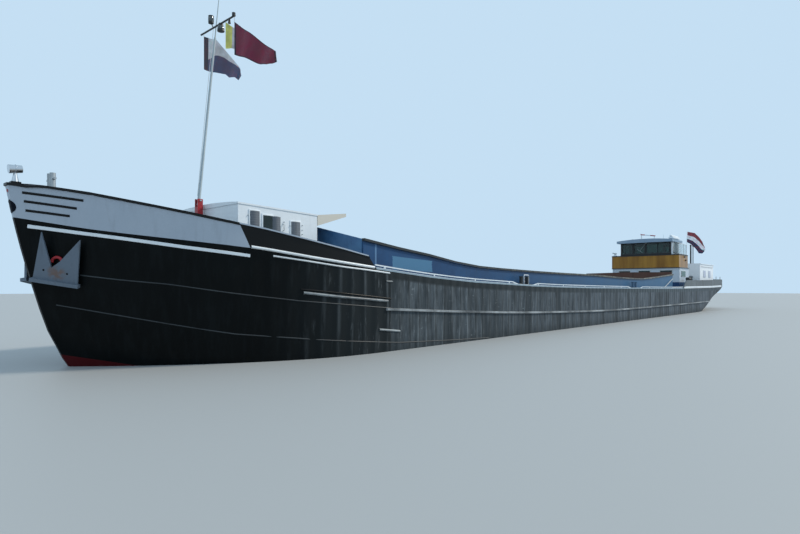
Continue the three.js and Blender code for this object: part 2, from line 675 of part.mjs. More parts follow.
// Two trumpets on the shelf, ahead of the wheelhouse's starboard corner.
const horns = () => {
  const foot = SHELF_TOP + GAP;
  const axis = foot + 240;
  return shape(block(46500, 46620, 2350, 2650, foot, foot + 40), {
    add: [
      bar([46300, 2600, axis], [46700, 2600, axis], 60, 12, 25),
      bar([46380, 2430, axis], [46700, 2430, axis], 45, 12, 20),
      block(46590, 46620, 2410, 2620, foot + 30, axis + 10),
    ],
  });
};

// Deck gear

const bollard = (x, side, height, radius, inset) => {
  const z = deckAt(x);
  const y = side * (halfBreadth(x, z) - inset);
  const posts = [-260, 260].map((step) => bar([x + step, y, z - 100], [x + step, y, z + height], radius, 12));
  const caps = [-260, 260].map((step) => (
    bar([x + step, y, z + height], [x + step, y, z + height + 30], radius * 1.25, 12)));
  const plate = block(x - 420, x + 420, y - 150, y + 150, z - 100, z + 35);
  return shape(plate, { add: [...posts, ...caps], cut: [hullCutter] });
};

const BOLLARDS = [
  { name: 'bow', x: 3600, height: 420, radius: 90, inset: 620 },
  { name: 'fore', x: 18960, height: 360, radius: 80, inset: 330 },
  { name: 'middle', x: 33265, height: 360, radius: 80, inset: 330 },
  { name: 'stern', x: 56500, height: 420, radius: 90, inset: 520 },
];

const BOW_POSTS = { x: 1015, y: 95, radius: 72, top: 5800, barHeight: 5640, barHalf: 300 };
const bowPosts = () => {
  const { x, y, radius, top, barHeight, barHalf } = BOW_POSTS;
  const z = deckAt(x);
  const posts = [-y, y].map((side) => bar([x, side, z - 100], [x, side, top], radius, 14));
  return shape(block(x - 160, x + 160, -330, 330, z - 200, z + 60), {
    add: [...posts, bar([x, -barHalf, barHeight], [x, barHalf, barHeight], 32, 10)], cut: [hullCutter],
  });
};

const searchlight = () => {
  const { x, base, axis, radius, length } = SEARCHLIGHT;
  const [low, high] = [axis - length * 0.06, axis + length * 0.06];
  return shape(bar([x, 0, base + GAP], [x, 0, axis - 60], 85, 14, 30), {
    add: [bar([x - length / 2, 0, low], [x + length / 2, 0, high], radius, 20, radius * 0.85)],
  });
};

const WINDLASS = { x: 2750, z: 4620, half: 520 };
const windlassFrame = () => {
  const { x, z } = WINDLASS;
  const cheeks = [-400, 400].map((y) => block(x - 300, x + 300, y - 30, y + 30, z - 700, z + 180));
  const gearbox = block(x + 150, x + 460, -371, 371, z - 600, z - 170);
  const tie = block(x - 300, x + 460, -371, 371, z - 600, z - 380);
  const bore = bar([x, -600, z], [x, 600, z], 66, 16);
  return shape(tie, { add: [...cheeks, gearbox], cut: [hullCutter, bore] });
};
const windlassDrum = () => {
  const { x, z, half } = WINDLASS;
  const shaft = bar([x, -half - 250, z], [x, half + 250, z], 55, 16);
  const drums = [-1, 1].flatMap((side) => [
    bar([x, side * 80, z], [x, side * 330, z], 170, 16),
    bar([x, side * 470, z], [x, side * 740, z], 120, 16, 150),
  ]);
  return shape(shaft, { add: drums });
};

const FOREPEAK = { x: 3950, half: 340 };
const forepeakCoaming = () => {
  const { x, half } = FOREPEAK;
  const z = deckAt(x);
  return shape(block(x - half, x + half, -half, half, z - 200, z + 250), {
    cut: [hullCutter, block(x - half + 40, x + half - 40, -half + 40, half - 40, z - 400, z + 500)],
  });
};
const forepeakLid = () => {
  const { x, half } = FOREPEAK;
  const z = deckAt(x) + 262;
  return shape(block(x - half - 30, x + half + 30, -half - 30, half + 30, z, z + 40), {
    add: [bar([x + half - 60, -120, z + 70], [x + half - 60, 120, z + 70], 15, 8),
      block(x + half - 75, x + half - 45, -120, -90, z + 30, z + 75),
      block(x + half - 75, x + half - 45, 90, 120, z + 30, z + 75)],
  });
};

// Anchor laid flat on the bow: two pointed flukes on a crown plate, with a short shank.
const anchor = () => {
  const outline = new THREE.Shape([
    [-525, 0], [-437, 1230], [-123, 385], [57, 570], [464, 1190], [525, 0],
  ].map(([u, v]) => new THREE.Vector2(u, v)));
  const flukes = new THREE.ExtrudeGeometry(outline, { depth: 60, bevelEnabled: false });
  const crown = new THREE.BoxGeometry(1130, 90, 160).translate(0, 20, 60);
  const shank = new THREE.BoxGeometry(130, 420, 110).translate(0, 210, -10);
  return shape(flukes, { add: [crown, shank] });
};

const anchorOnBow = () => {
  const [x, z] = [973, 3520];
  const tilt = THREE.MathUtils.degToRad(-9.5);
  const at = (dx, dz) => new THREE.Vector3(x + dx, -halfBreadth(x + dx, z + dz), z + dz);
  const aft = at(150, 0).sub(at(-50, 0)).normalize();
  const up = at(0, 200).sub(at(0, -200)).normalize();
  const outward = up.clone().cross(aft).normalize();
  if (outward.y > 0) outward.negate();
  const riseDirection = outward.clone().cross(aft).normalize();
  if (riseDirection.z < 0) riseDirection.negate();
  const across = riseDirection.clone().cross(outward).normalize();
  const centre = at(0, 0).addScaledVector(outward, 150).addScaledVector(riseDirection, -560);
  const turn = new THREE.Matrix4().makeRotationAxis(outward, tilt);
  const frame = turn.multiply(new THREE.Matrix4().makeBasis(across, riseDirection, outward));
  frame.setPosition(centre);
  const otherSide = block(-1000, 3000, -10, 2000, 0, 6000);
  return shape(anchor().applyMatrix4(frame), { cut: [hullCutter, otherSide] });
};

// Mast, yard and flags

const mastFoot = () => {
  const { x, pivot } = MAST;
  const cheeks = [-78, 78].map((y) => block(x - 88, x + 88, y - 12, y + 12, 4500, pivot + 50));
  const bore = bar([x, -300, pivot], [x, 300, pivot], 27, 14);
  const post = block(x - 90, x + 90, -90, 90, deckAt(x) - 100, pivot - 200);
  return shape(post, { add: cheeks, cut: [hullCutter, bore] });
};

// A point up the mast's line, to starboard and aft of it.
const onMast = (up, side = 0, aft = 0) => [
  MAST.x + Math.sin(MAST.rake) * up + aft, side, MAST.pivot + Math.cos(MAST.rake) * up,
];

const mastPole = () => shape(bar(onMast(-150), onMast(YARD.up - 300), MAST.radius, 16, 32), {
  add: [
    bar(onMast(YARD.up - 310), onMast(MAST.length), 20, 10, 12),
    bar([MAST.x, -130, MAST.pivot], [MAST.x, 130, MAST.pivot], 24, 14),
  ],
});

// The yard, longer to port, with a lamp on an arm above it and two lanterns hung below.
const mastYard = () => {
  const [x, , z] = onMast(YARD.up, 0, -YARD.ahead);
  const { starboardEnd, portEnd, radius } = YARD;
  const lamp = { x: x - 84, bottom: z + 115, top: z + 350, radius: 85 };
  const lanterns = [
    { y: -445, radius: 115, height: 245 },
    { y: -940, radius: 45, height: 150 },
  ].map((row) => bar([x, row.y, z - row.height], [x, row.y, z], row.radius, 14, row.radius * 0.6));
  return shape(bar([x, portEnd, z], [x, starboardEnd, z], radius, 10), {
    add: [
      bar([x, 0, z], [lamp.x, 0, lamp.bottom + 20], 16, 8),
      bar([lamp.x, 0, lamp.bottom], [lamp.x, 0, lamp.top], lamp.radius, 14),
      bar([x, portEnd + 70, z], [x, portEnd + 70, z + 100], 55, 10),
      ...lanterns,
    ],
  });
};

// Flags. Each hangs from an upright hoist and streams at a heading, in degrees from aft to
// port, while its upper edge falls. A slab as thick as the folds encloses the cloth.
const FLAG_THICKNESS = 120;
const cloth = ([x, y, z], { heading, length, hoist, fall, tip }) => {
  const angle = THREE.MathUtils.degToRad(heading);
  const [aft, port] = [Math.cos(angle), Math.sin(angle)];
  const half = FLAG_THICKNESS / 2;
  const end = (along, top, bottom) => [[-half, top], [half, top], [half, bottom], [-half, bottom]].map(
    ([across, drop]) => [x + aft * along + port * across, y - port * along + aft * across, z - drop],
  );
  return loft([end(0, 0, hoist), end(length, fall, fall + tip)]);
};
// side is the hoist's distance to starboard of the mast, drop its distance below the yard
const FLAG_HEADING = 53;
const FLAGS = [
  { name: 'flag_maroon', side: -1223, drop: 185, length: 1320, hoist: 987, fall: 1000, tip: 340 },
  { name: 'flag_yellow', side: -725, drop: 40, length: 420, hoist: 825, fall: 300, tip: 600 },
  { name: 'flag_white_blue', side: 591, drop: 107, length: 1260, hoist: 1073, fall: 980, tip: 400 },
];
const flag = (row) => {
  const [x, y, z] = onMast(YARD.up, row.side, -YARD.ahead);
  return cloth([x, y, z - row.drop], { ...row, heading: FLAG_HEADING });
};

const ENSIGN = {
  x: 59300, lean: 550, top: 8650, heading: 90, length: 1650, hoist: 1210, fall: 1400, tip: 600,
};
const ensignStaff = () => shape(
  bar([ENSIGN.x, 0, deckAt(ENSIGN.x) - 100], [ENSIGN.x + ENSIGN.lean, 0, ENSIGN.top], 35, 10, 18),
  { cut: [hullCutter] },
);
const ensign = () => cloth([ENSIGN.x + ENSIGN.lean - 80, -70, ENSIGN.top - 60], ENSIGN);

// Stern gear

const sternTube = () => {
  const points = [[75, 0], [130, 0], [130, 1100], [100, 1260], [75, 1260], [75, 0]];
  const tube = new THREE.LatheGeometry(points.map(([r, z]) => new THREE.Vector2(r, z)), 20);
  tube.rotateZ(-Math.PI / 2).translate(55100, 0, SHAFT_HEIGHT);
  return shape(tube, { cut: [hullCutter] });
};

const propeller = () => {
  const { x, radius, hubRadius, hubLength, blades } = PROPELLER;
  const [fore, aft] = [x - hubLength / 2, x + hubLength / 2];
  const hub = bar([fore, 0, SHAFT_HEIGHT], [aft, 0, SHAFT_HEIGHT], hubRadius, 20, 70);
  const shaft = bar([55600, 0, SHAFT_HEIGHT], [x, 0, SHAFT_HEIGHT], 62, 16);
  const outline = new THREE.Shape();
  outline.absellipse(0, radius * 0.56, radius * 0.36, radius * 0.44, 0, Math.PI * 2);
  const wings = Array.from({ length: blades }, (_, i) => {
    const blade = new THREE.ExtrudeGeometry(outline, { depth: 30, bevelEnabled: false, curveSegments: 10 });
    blade.translate(0, 0, -15).rotateY(THREE.MathUtils.degToRad(62));
    blade.rotateX(Math.PI / 2 + (i * 2 * Math.PI) / blades);
    return blade.translate(x, 0, SHAFT_HEIGHT);
  });
  return shape(hub, { add: [shaft, ...wings] });
};

const rudder = () => {
  const { stockX, top, bottom, ahead, astern, thickness } = RUDDER;
  const blade = loft([bottom, top].map((z) => [
    [stockX - ahead, -15, z], [stockX - ahead + 120, -thickness / 2, z], [stockX + 100, -thickness / 2, z],
    [stockX + astern, -15, z], [stockX + astern, 15, z], [stockX + 100, thickness / 2, z],
    [stockX - ahead + 120, thickness / 2, z], [stockX - ahead, 15, z],
  ]));
  const plates = [bottom, top - 30].map((z) => (
    block(stockX - ahead, stockX + astern, -110, 110, z, z + 30)));
  const stock = bar([stockX, 0, top - 100], [stockX, 0, STOCK_TOP - 30], STOCK_RADIUS, 20);
  return shape(blade, { add: [...plates, stock] });
};

const engine = () => block(48300, 51300, -550, 550, ENGINE_SPACE.floor + 1, ENGINE_SPACE.floor + 1500);

// Assembly

const finish = (color, roughness, metalness = 0) => (
  new THREE.MeshStandardMaterial({ color, roughness, metalness }));

const barge = new THREE.Group();
const place = (name, geometry, color, roughness = 0.5, metalness = 0) => {
  const mesh = new THREE.Mesh(geometry, finish(color, roughness, metalness));
  mesh.name = name;
  barge.add(mesh);
};
const placePair = (name, geometry, color, roughness, metalness) => {
  place(`${name}_port`, geometry, color, roughness, metalness);
  place(`${name}_starboard`, mirrored(geometry), color, roughness, metalness);
};

place('hull', hull(), BLACK_HULL, 0.4);
place('bow_bulwark', bowBulwark(), WHITE, 0.4);
place('stern_bulwark', sternBulwark(), STEEL_GREY, 0.5);
placePair('rubbing_strake', rubbingStrake(), BLACK_HULL, 0.5);
placePair('toe_rail', toeRail(), WHITE, 0.4);
placePair('coaming', coamingSide(), BLUE, 0.4);
place('coaming_fore_end', coamingEnd(HOLD.front - COAMING_THICKNESS - GAP, COAMING_FORE_END), BLUE, 0.4);
place('coaming_aft_end', coamingEnd(HOLD.back + GAP, COAMING_AFT_END), HOLD_BROWN, 0.6);
place('fore_house_walls', foreHouseWalls(), WHITE, 0.4);
place('fore_house_roof', foreHouseRoof(), WHITE, 0.5);
place('fore_house_door', foreHouseDoor(), WHITE, 0.4);
place('fore_house_awning', foreHouseAwning(), PALE_GREY, 0.7);
place('aft_house_walls', aftHouseWalls(), WHITE, 0.4);
place('aft_house_roof', aftHouseRoof(), STEEL_GREY, 0.6);
place('engine_casing', engineCasing(), HOLD_BROWN, 0.6);
place('cabin_walls', cabinWalls(), WHITE, 0.4);
place('cabin_roof', cabinRoof(), WHITE, 0.5);
place('cabin_door', cabinDoor(), VARNISH, 0.3);
place('wheelhouse_dodger', dodger(), VARNISH, 0.3);
place('wheelhouse_shelf', dodgerTop(), DARK, 0.5);
place('wheelhouse_walls', wheelhouseWalls(), WHITE, 0.4);
place('wheelhouse_floor', wheelhouseFloor(), HOLD_BROWN, 0.6);
placePair('wheelhouse_door', wheelhouseDoor(), VARNISH, 0.3);
place('wheelhouse_roof', wheelhouseRoof(), ROOF_BLUE, 0.4);
place('wheelhouse_console', helmConsole(), DARK, 0.5);
place('helm_wheel', helmWheel(), VARNISH, 0.3);
place('helm_chair', helmChair(), DARK, 0.8);
place('horns', horns(), PALE_GREY, 0.3, 1);
for (const { name, x, height, radius, inset } of BOLLARDS) {
  placePair(`bollard_${name}`, bollard(x, -1, height, radius, inset), DARK, 0.5);
}
place('bow_posts', bowPosts(), PALE_GREY, 0.4);
place('searchlight', searchlight(), PALE_GREY, 0.3, 1);
place('windlass_frame', windlassFrame(), BLUE, 0.5);
place('windlass_drum', windlassDrum(), DARK, 0.5);
place('forepeak_coaming', forepeakCoaming(), STEEL_GREY, 0.5);
place('forepeak_lid', forepeakLid(), STEEL_GREY, 0.5);
placePair('anchor', anchorOnBow(), PALE_GREY, 0.5);
place('mast_foot', mastFoot(), RED, 0.4);
place('mast_pole', mastPole(), PALE_GREY, 0.4);
place('mast_yard', mastYard(), DARK, 0.4);
for (const row of FLAGS) place(row.name, flag(row), RED, 0.9);
place('ensign_staff', ensignStaff(), WHITE, 0.4);
place('ensign', ensign(), WHITE, 0.9);
place('stern_tube', sternTube(), DARK, 0.5);
place('propeller', propeller(), 0x9c7a3c, 0.3, 1);
place('rudder', rudder(), DARK, 0.5);
place('engine', engine(), STEEL_GREY, 0.5);

barge.position.x = (-LENGTH / 2) * MODEL_SCALE;
barge.scale.setScalar(MODEL_SCALE);
const model = new THREE.Group();
model.add(barge);

export default model;
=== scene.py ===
"""The look of a canal motor cargo barge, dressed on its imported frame.

Places in the tables are the full-size vessel's, in millimetres: x aft from the stem head, y to
starboard, z up from the flat bottom. at() gives the frame's metres, at half size.
"""

import json
import logging
import math
from collections.abc import Callable, Sequence
from dataclasses import dataclass, field, replace
from enum import Enum, IntEnum
from functools import partial

import bpy
import numpy as np
from mathutils import Matrix, Vector
from mathutils.bvhtree import BVHTree

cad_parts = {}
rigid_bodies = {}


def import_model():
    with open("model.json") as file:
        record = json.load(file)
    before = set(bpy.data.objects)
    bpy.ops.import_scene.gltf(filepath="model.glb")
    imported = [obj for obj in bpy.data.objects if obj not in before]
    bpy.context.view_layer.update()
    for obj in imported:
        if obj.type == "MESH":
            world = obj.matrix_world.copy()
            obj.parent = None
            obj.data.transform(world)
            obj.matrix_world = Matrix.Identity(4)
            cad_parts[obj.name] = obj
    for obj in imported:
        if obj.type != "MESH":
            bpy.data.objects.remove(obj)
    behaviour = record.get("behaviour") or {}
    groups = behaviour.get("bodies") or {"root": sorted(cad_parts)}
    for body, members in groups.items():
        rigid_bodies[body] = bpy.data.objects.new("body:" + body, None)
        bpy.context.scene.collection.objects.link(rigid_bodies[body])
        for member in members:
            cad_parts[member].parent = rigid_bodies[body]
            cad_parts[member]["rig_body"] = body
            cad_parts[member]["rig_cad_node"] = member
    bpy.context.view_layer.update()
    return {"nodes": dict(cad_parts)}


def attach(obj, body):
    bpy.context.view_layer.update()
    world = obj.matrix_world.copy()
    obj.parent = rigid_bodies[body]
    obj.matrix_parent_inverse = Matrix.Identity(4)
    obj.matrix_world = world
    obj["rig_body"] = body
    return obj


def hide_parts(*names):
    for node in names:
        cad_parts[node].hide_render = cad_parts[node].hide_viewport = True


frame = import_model()

log = logging.getLogger("barge")

MM = 0.0005
STEM_HEAD = -15.0
WATERLINE = 0.375
SHEER = ((0, 4610), (1700, 4280), (4700, 3940), (8860, 3480), (11880, 3230), (14470, 3085),
         (17070, 3000), (19320, 2930), (24450, 2840), (43450, 2735), (52000, 2790), (60000, 2930))
BULWARK_HEIGHT = ((0, 850), (1700, 760), (4140, 560), (8570, 330), (8920, 320))
COAMING_TOP = ((8900, 4440), (10800, 4215), (12560, 4044), (15100, 3745), (18200, 3654),
               (23260, 3580), (27670, 3550), (30430, 3480), (34940, 3420), (37600, 3530),
               (42400, 3835))

Object = bpy.types.Object
Socket = bpy.types.NodeSocket
Row = Sequence[float]


class Side(IntEnum):
    """A side of the vessel, as the sign of y."""

    PORT = -1
    STARBOARD = 1

    @property
    def word(self) -> str:
        """The side's name as pieces and nodes end with it."""
        return self.name.lower()


def at(x: float, y: float, z: float) -> Vector:
    """The frame's point for a full-size place in millimetres."""
    return Vector((x * MM + STEM_HEAD, y * MM, z * MM))


def full(point: Vector) -> Row:
    """The full-size place of a point in the frame."""
    return ((point.x - STEM_HEAD) / MM, point.y / MM, point.z / MM)


def along(rows: Sequence[Row], x: float, column: int = 1) -> float:
    """The value that a table's column gives at x, which its first column holds."""
    return float(np.interp(x, [row[0] for row in rows], [row[column] for row in rows]))


# Modelling steps


class Bench:
    """Modelling steps that the sub-assemblies share, done as by hand in the viewport."""

    @staticmethod
    def deselect() -> None:
        """Leaves edit mode and selects nothing."""
        if bpy.context.mode != "OBJECT":
            bpy.ops.object.mode_set(mode="OBJECT")
        bpy.ops.object.select_all(action="DESELECT")

    @staticmethod
    def pick(*pieces: Object) -> None:
        """Selects these pieces alone, the first one active.

        Args:
            pieces: what is selected.
        """
        Bench.deselect()
        for piece in pieces:
            piece.select_set(True)
        bpy.context.view_layer.objects.active = pieces[0]

    @staticmethod
    def settle(name: str) -> Object:
        """Names the active piece and puts its place, turn and size into its mesh.

        Args:
            name: its name from here on, and its mesh's.
        Returns:
            The piece.
        """
        piece = bpy.context.object
        Bench.pick(piece)
        bpy.ops.object.transform_apply(location=True, rotation=True, scale=True)
        piece.name = name
        piece.data.name = name
        return piece

    @staticmethod
    def modify(piece: Object, kind: str, **settings: object) -> Object:
        """Adds a modifier with its settings and applies it.

        Args:
            piece: the piece.
            kind: the modifier's type.
            settings: its settings by name.
        Returns:
            The piece.
        """
        Bench.pick(piece)
        modifier = piece.modifiers.new(kind.title(), kind)
        for key, value in settings.items():
            setattr(modifier, key, value)
        bpy.ops.object.modifier_apply(modifier=modifier.name)
        return piece

    @staticmethod
    def smooth(piece: Object, degrees: float = 35) -> Object:
        """Shades a piece smooth, up to a sharp angle.

        Args:
            piece: the piece.
            degrees: past this an edge stays sharp.
        Returns:
            The piece.
        """
        Bench.pick(piece)
        bpy.ops.object.shade_smooth_by_angle(angle=math.radians(degrees))
        return piece

    @staticmethod
    def edit(piece: Object, *steps: Callable[[], object]) -> Object:
        """Takes steps in edit mode on the whole of a piece.

        Args:
            piece: the piece.
            steps: what is called there, in order.
        Returns:
            The piece.
        """
        Bench.pick(piece)
        bpy.ops.object.mode_set(mode="EDIT")
        bpy.ops.mesh.select_all(action="SELECT")
        for step in steps:
            step()
        bpy.ops.object.mode_set(mode="OBJECT")
        return piece

    @staticmethod
    def outward(piece: Object) -> Object:
        """Turns a closed piece's faces outwards."""
        return Bench.edit(piece, partial(bpy.ops.mesh.normals_make_consistent, inside=False))

    @staticmethod
    def join(name: str, pieces: Sequence[Object]) -> Object:
        """Joins several pieces into one, named anew.

        Args:
            name: the joined piece's name.
            pieces: what is joined.
        Returns:
            The joined piece.
        """
        Bench.pick(*pieces)
        if len(pieces) > 1:
            bpy.ops.object.join()
        return Bench.settle(name)

    @staticmethod
    def mirrored(piece: Object, name: str) -> Object:
        """A copy with its own mesh, turned over the centreline with its faces turned back.

        Args:
            piece: what is copied.
            name: the copy's name.
        Returns:
            The copy.
        """
        Bench.pick(piece)
        bpy.ops.object.duplicate()
        made = bpy.context.object
        made.data.transform(Matrix.Diagonal((1, -1, 1, 1)))
        made.name = name
        made.data.name = name
        return Bench.edit(made, bpy.ops.mesh.flip_normals)

    @staticmethod
    def box(name: str, low: Row, high: Row, edge: float = 6, segments: int = 2) -> Object:
        """A block between two corners, its edges rounded by edge millimetres.

        Args:
            name: the piece's name.
            low: its corner with the least x, y and z.
            high: the corner across from that.
            edge: the bevel's width.
            segments: how many steps the bevel has.
        Returns:
            The block.
        """
        Bench.deselect()
        a, b = at(*low), at(*high)
        bpy.ops.mesh.primitive_cube_add(size=1, location=(a + b) / 2, scale=b - a)
        piece = Bench.settle(name)
        Bench.modify(piece, "BEVEL", width=edge * MM, segments=segments)
        return Bench.smooth(piece)

    @staticmethod
    def rod(name: str, start: Row, end: Row, radius: float, tip: float | None = None,
            sides: int = 16, edge: float = 4) -> Object:
        """A round bar between two places, tapered to its tip radius, with eased rims.

        Args:
            name: the piece's name.
            start: the middle of one end.
            end: the middle of the other.
            radius: its radius at the start.
            tip: its radius at the end, the same if none is given.
            sides: how many faces it has round it.
            edge: the width of the bevel on its rims.
        Returns:
            The bar.
        """
        Bench.deselect()
        a, b = at(*start), at(*end)
        turn = (b - a).to_track_quat("Z", "Y").to_euler()
        bpy.ops.mesh.primitive_cone_add(
            vertices=sides, radius1=radius * MM, radius2=(radius if tip is None else tip) * MM,
            depth=(b - a).length, location=(a + b) / 2, rotation=turn)
        piece = Bench.settle(name)
        Bench.modify(piece, "BEVEL", width=edge * MM, segments=2, limit_method="ANGLE",
                     angle_limit=math.radians(50))
        return Bench.smooth(piece, 40)

    @staticmethod
    def pipe(name: str, points: Sequence[Row], radius: float, closed: bool = False) -> Object:
        """A round bar bent along full-size points.

        Args:
            name: the piece's name.
            points: the places that its middle line joins.
            radius: the bar's radius.
            closed: whether its last point is joined to its first.
        Returns:
            The bar.
        """
        Bench.deselect()
        bpy.ops.curve.primitive_bezier_curve_add(location=(0, 0, 0))
        path = bpy.context.object
        path.data.splines.clear()
        spline = path.data.splines.new("POLY")
        spline.points.add(len(points) - 1)
        for point, place in zip(spline.points, points):
            point.co = (*at(*place), 1)
        spline.use_cyclic_u = closed
        path.data.dimensions = "3D"
        path.data.bevel_depth = radius * MM
        path.data.bevel_resolution = 2
        path.data.use_fill_caps = True
        Bench.pick(path)
        bpy.ops.object.convert(target="MESH")
        return Bench.smooth(Bench.settle(name), 50)

    @staticmethod
    def loop(places: Sequence[Vector], fill: str) -> Object:
        """A ring of edges through the frame's points, filled as the circle's option says.

        Args:
            places: its points, in order.
            fill: how it is filled.
        Returns:
            The ring.
        """
        Bench.deselect()
        bpy.ops.mesh.primitive_circle_add(vertices=len(places), fill_type=fill)
        piece = bpy.context.object
        for vertex, place in zip(piece.data.vertices, places):
            vertex.co = place
        return piece

    @staticmethod
    def surface(name: str, columns: int, rows: int, place: Callable[[float, float], Vector],
                thickness: float = 0) -> Object:
        """A grid laid over a surface, thickened to both sides where a thickness is given.

        Args:
            name: the piece's name.
            columns: how many steps it has along.
            rows: how many steps it has across.
            place: the frame's point for shares 0 to 1 along and across.
            thickness: in full-size millimetres.
        Returns:
            The surface, with its grid as its UV map.
        """
        Bench.deselect()
        bpy.ops.mesh.primitive_grid_add(x_subdivisions=columns, y_subdivisions=rows, size=1)
        piece = bpy.context.object
        for vertex in piece.data.vertices:
            vertex.co = place(vertex.co.x + 0.5, vertex.co.y + 0.5)
        Bench.settle(name)
        if thickness:
            Bench.modify(piece, "SOLIDIFY", thickness=thickness * MM, offset=0)
            Bench.outward(piece)
        return Bench.smooth(piece, 60)

    @staticmethod
    def ring(name: str, centre: Row, facing: Row, radius: float, bar: float, sides: int = 20,
             sweep: float = 360) -> Object:
        """A round bar bent to a ring that faces a direction.

        Args:
            name: the piece's name.
            centre: its middle.
            facing: the direction, which isn't straight up.
            radius: from its middle to the bar's.
            bar: the bar's radius.
            sides: how many lengths it has.
            sweep: how far it goes round, in degrees, from its side over its top.
        Returns:
            The ring, or the part of one.
        """
        axis = Vector(facing).normalized()
        across = axis.cross(Vector((0, 0, 1))).normalized()
        up = across.cross(axis)
        closed = sweep == 360
        angles = [math.radians(sweep * i / sides) for i in range(sides if closed else sides + 1)]
        points = [Vector(centre) + radius * (math.cos(a) * across + math.sin(a) * up)
                  for a in angles]
        return Bench.pipe(name, points, bar, closed)

    @staticmethod
    def skin_of(node: str, name: str) -> Object:
        """A merged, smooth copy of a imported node, which stands for it.

        Args:
            node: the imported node.
            name: the copy's name.
        Returns:
            The copy.
        """
        Bench.pick(frame["nodes"][node])
        bpy.ops.object.duplicate()
        piece = bpy.context.object
        piece.parent = None
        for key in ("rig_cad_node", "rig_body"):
            del piece[key]
        piece.name = name
        piece.data.name = name
        Bench.pick(piece)
        bpy.ops.mesh.customdata_custom_splitnormals_clear()
        Bench.edit(piece, partial(bpy.ops.mesh.remove_doubles, threshold=0.1 * MM))
        Bench.smooth(piece, 25)
        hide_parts(node)
        return piece


class Skin:
    """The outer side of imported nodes, found by looking at them level.

    A look starts at reach to the side or at outlook ahead, and a search for the nearest face at
    middle from the centreline.
    """

    reach: float = 9000
    outlook: float = -2000
    middle: float = 60
    tries: Row = (0, 6, -6, 14, -14)

    def __init__(self, *nodes: str) -> None:
        """Reads the nodes' faces into a search tree.

        Args:
            nodes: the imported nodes' names.
        """
        points: list[Vector] = []
        faces: list[tuple[int, ...]] = []
        for node in nodes:
            mesh = frame["nodes"][node].data
            mesh.calc_loop_triangles()
            faces += [tuple(i + len(points) for i in t.vertices) for t in mesh.loop_triangles]
            points += [v.co.copy() for v in mesh.vertices]
        self.tree = BVHTree.FromPolygons(points, faces)

    def hit(self, origin: Vector, direction: Row, stand: float) -> Vector | None:
        """Where a ray first meets the skin, moved out by stand millimetres."""
        place, normal, _, _ = self.tree.ray_cast(origin, Vector(direction))
        return None if place is None else place + normal * stand * MM

    def point(self, x: float, z: float, side: int, stand: float = 0) -> Vector:
        """The side's point at full-size x and z, moved out by stand millimetres.

        A ray that slips through the seam between two nodes is sent again a little higher or lower.

        Args:
            x: distance aft of the stem head.
            z: height.
            side: Side.PORT or Side.STARBOARD.
            stand: how far out from the surface.
        Returns:
            The point in the frame.
        """
        for shift in self.tries:
            found = self.hit(at(x, side * self.reach, z + shift), (0, -side, 0), stand)
            if found is not None and side * found.y > 0:
                return found
        place, normal, _, _ = self.tree.find_nearest(at(x, side * self.middle, z))
        return place + normal * stand * MM

    def ahead(self, y: float, z: float, stand: float) -> Vector:
        """The bow's point at full-size y and z, seen from ahead."""
        found = self.hit(at(self.outlook, y, z), (1, 0, 0), stand)
        return found if found is not None else self.tree.find_nearest(at(0, y, z))[0]

    def strip(self, name: str, rows: Sequence[Row], height: float, stand: float, side: int,
              rounded: bool = True, steps: int = 24) -> Object:
        """A bar laid along the side through (x, z) rows.

        Args:
            name: the piece's name.
            rows: (x, z) of its middle line.
            height: its width up the side.
            stand: how far it stands out.
            side: Side.PORT or Side.STARBOARD.
            rounded: a half-round bar, and otherwise a flat one.
            steps: how many lengths it is made of.
        Returns:
            The bar, closed and facing outwards.
        """
        sunk = 4
        widths, rises = (-1, -0.98, -0.9, 0, 0.9, 0.98, 1), (0, 0.85, 1, 1, 1, 0.85, 0)
        if rounded:
            widths = (-1, -0.8, -0.4, 0, 0.4, 0.8, 1)
            rises = [math.sqrt(1 - w * w) for w in widths]
        first, last = rows[0][0], rows[-1][0]

        def place(u: float, v: float) -> Vector:
            """The bar's outer face, its edges sunk in the side.

            Args:
                u: share along the bar.
                v: share up it.
            Returns:
                The point in the frame.
            """
            x = first + u * (last - first)
            row = round(v * 6)
            out = rises[row] * (stand + sunk) - sunk
            return self.point(x, along(rows, x) + widths[row] * height / 2, side, out)

        piece = Bench.surface(name, steps, 6, place)
        inward = -1 if side == Side.STARBOARD else 1
        Bench.modify(piece, "SOLIDIFY", thickness=6 * MM, offset=inward)
        return Bench.smooth(Bench.outward(piece), 50)

    def patch(self, name: str, z: float, width: float, height: float, stand: float) -> Object:
        """An oval plate on the stem that follows the bow, seen from ahead.

        Args:
            name: the piece's name.
            z: its middle's height.
            width: how wide it is across the beam.
            height: how high it is.
            stand: how far it stands out.
        Returns:
            The plate.
        """
        def place(u: float, v: float) -> Vector:
            """The plate's outer face.

            Args:
                u: share across the plate.
                v: share up it.
            Returns:
                The point in the frame.
            """
            rise = math.sin((v - 0.5) * math.pi)
            half = max(0.04, math.sqrt(max(0.0, 1 - rise * rise))) * width / 2
            return self.ahead((u * 2 - 1) * half, z + rise * height / 2, stand)

        return Bench.surface(name, 12, 16, place, thickness=2 * stand)


# Finishes


def operator(operation: str, swapped: bool = False) -> Callable[["Value", object], "Value"]:
    """The way to write an operation between two values of a shader node tree.

    Args:
        operation: the math node's operation.
        swapped: whether the value stands on the right and a number on the left.
    Returns:
        The method of Value for that operator.
    """
    def method(value: "Value", other: object) -> "Value":
        """The operation's outcome."""
        return value.graph.math(operation, *((other, value) if swapped else (value, other)))

    return method


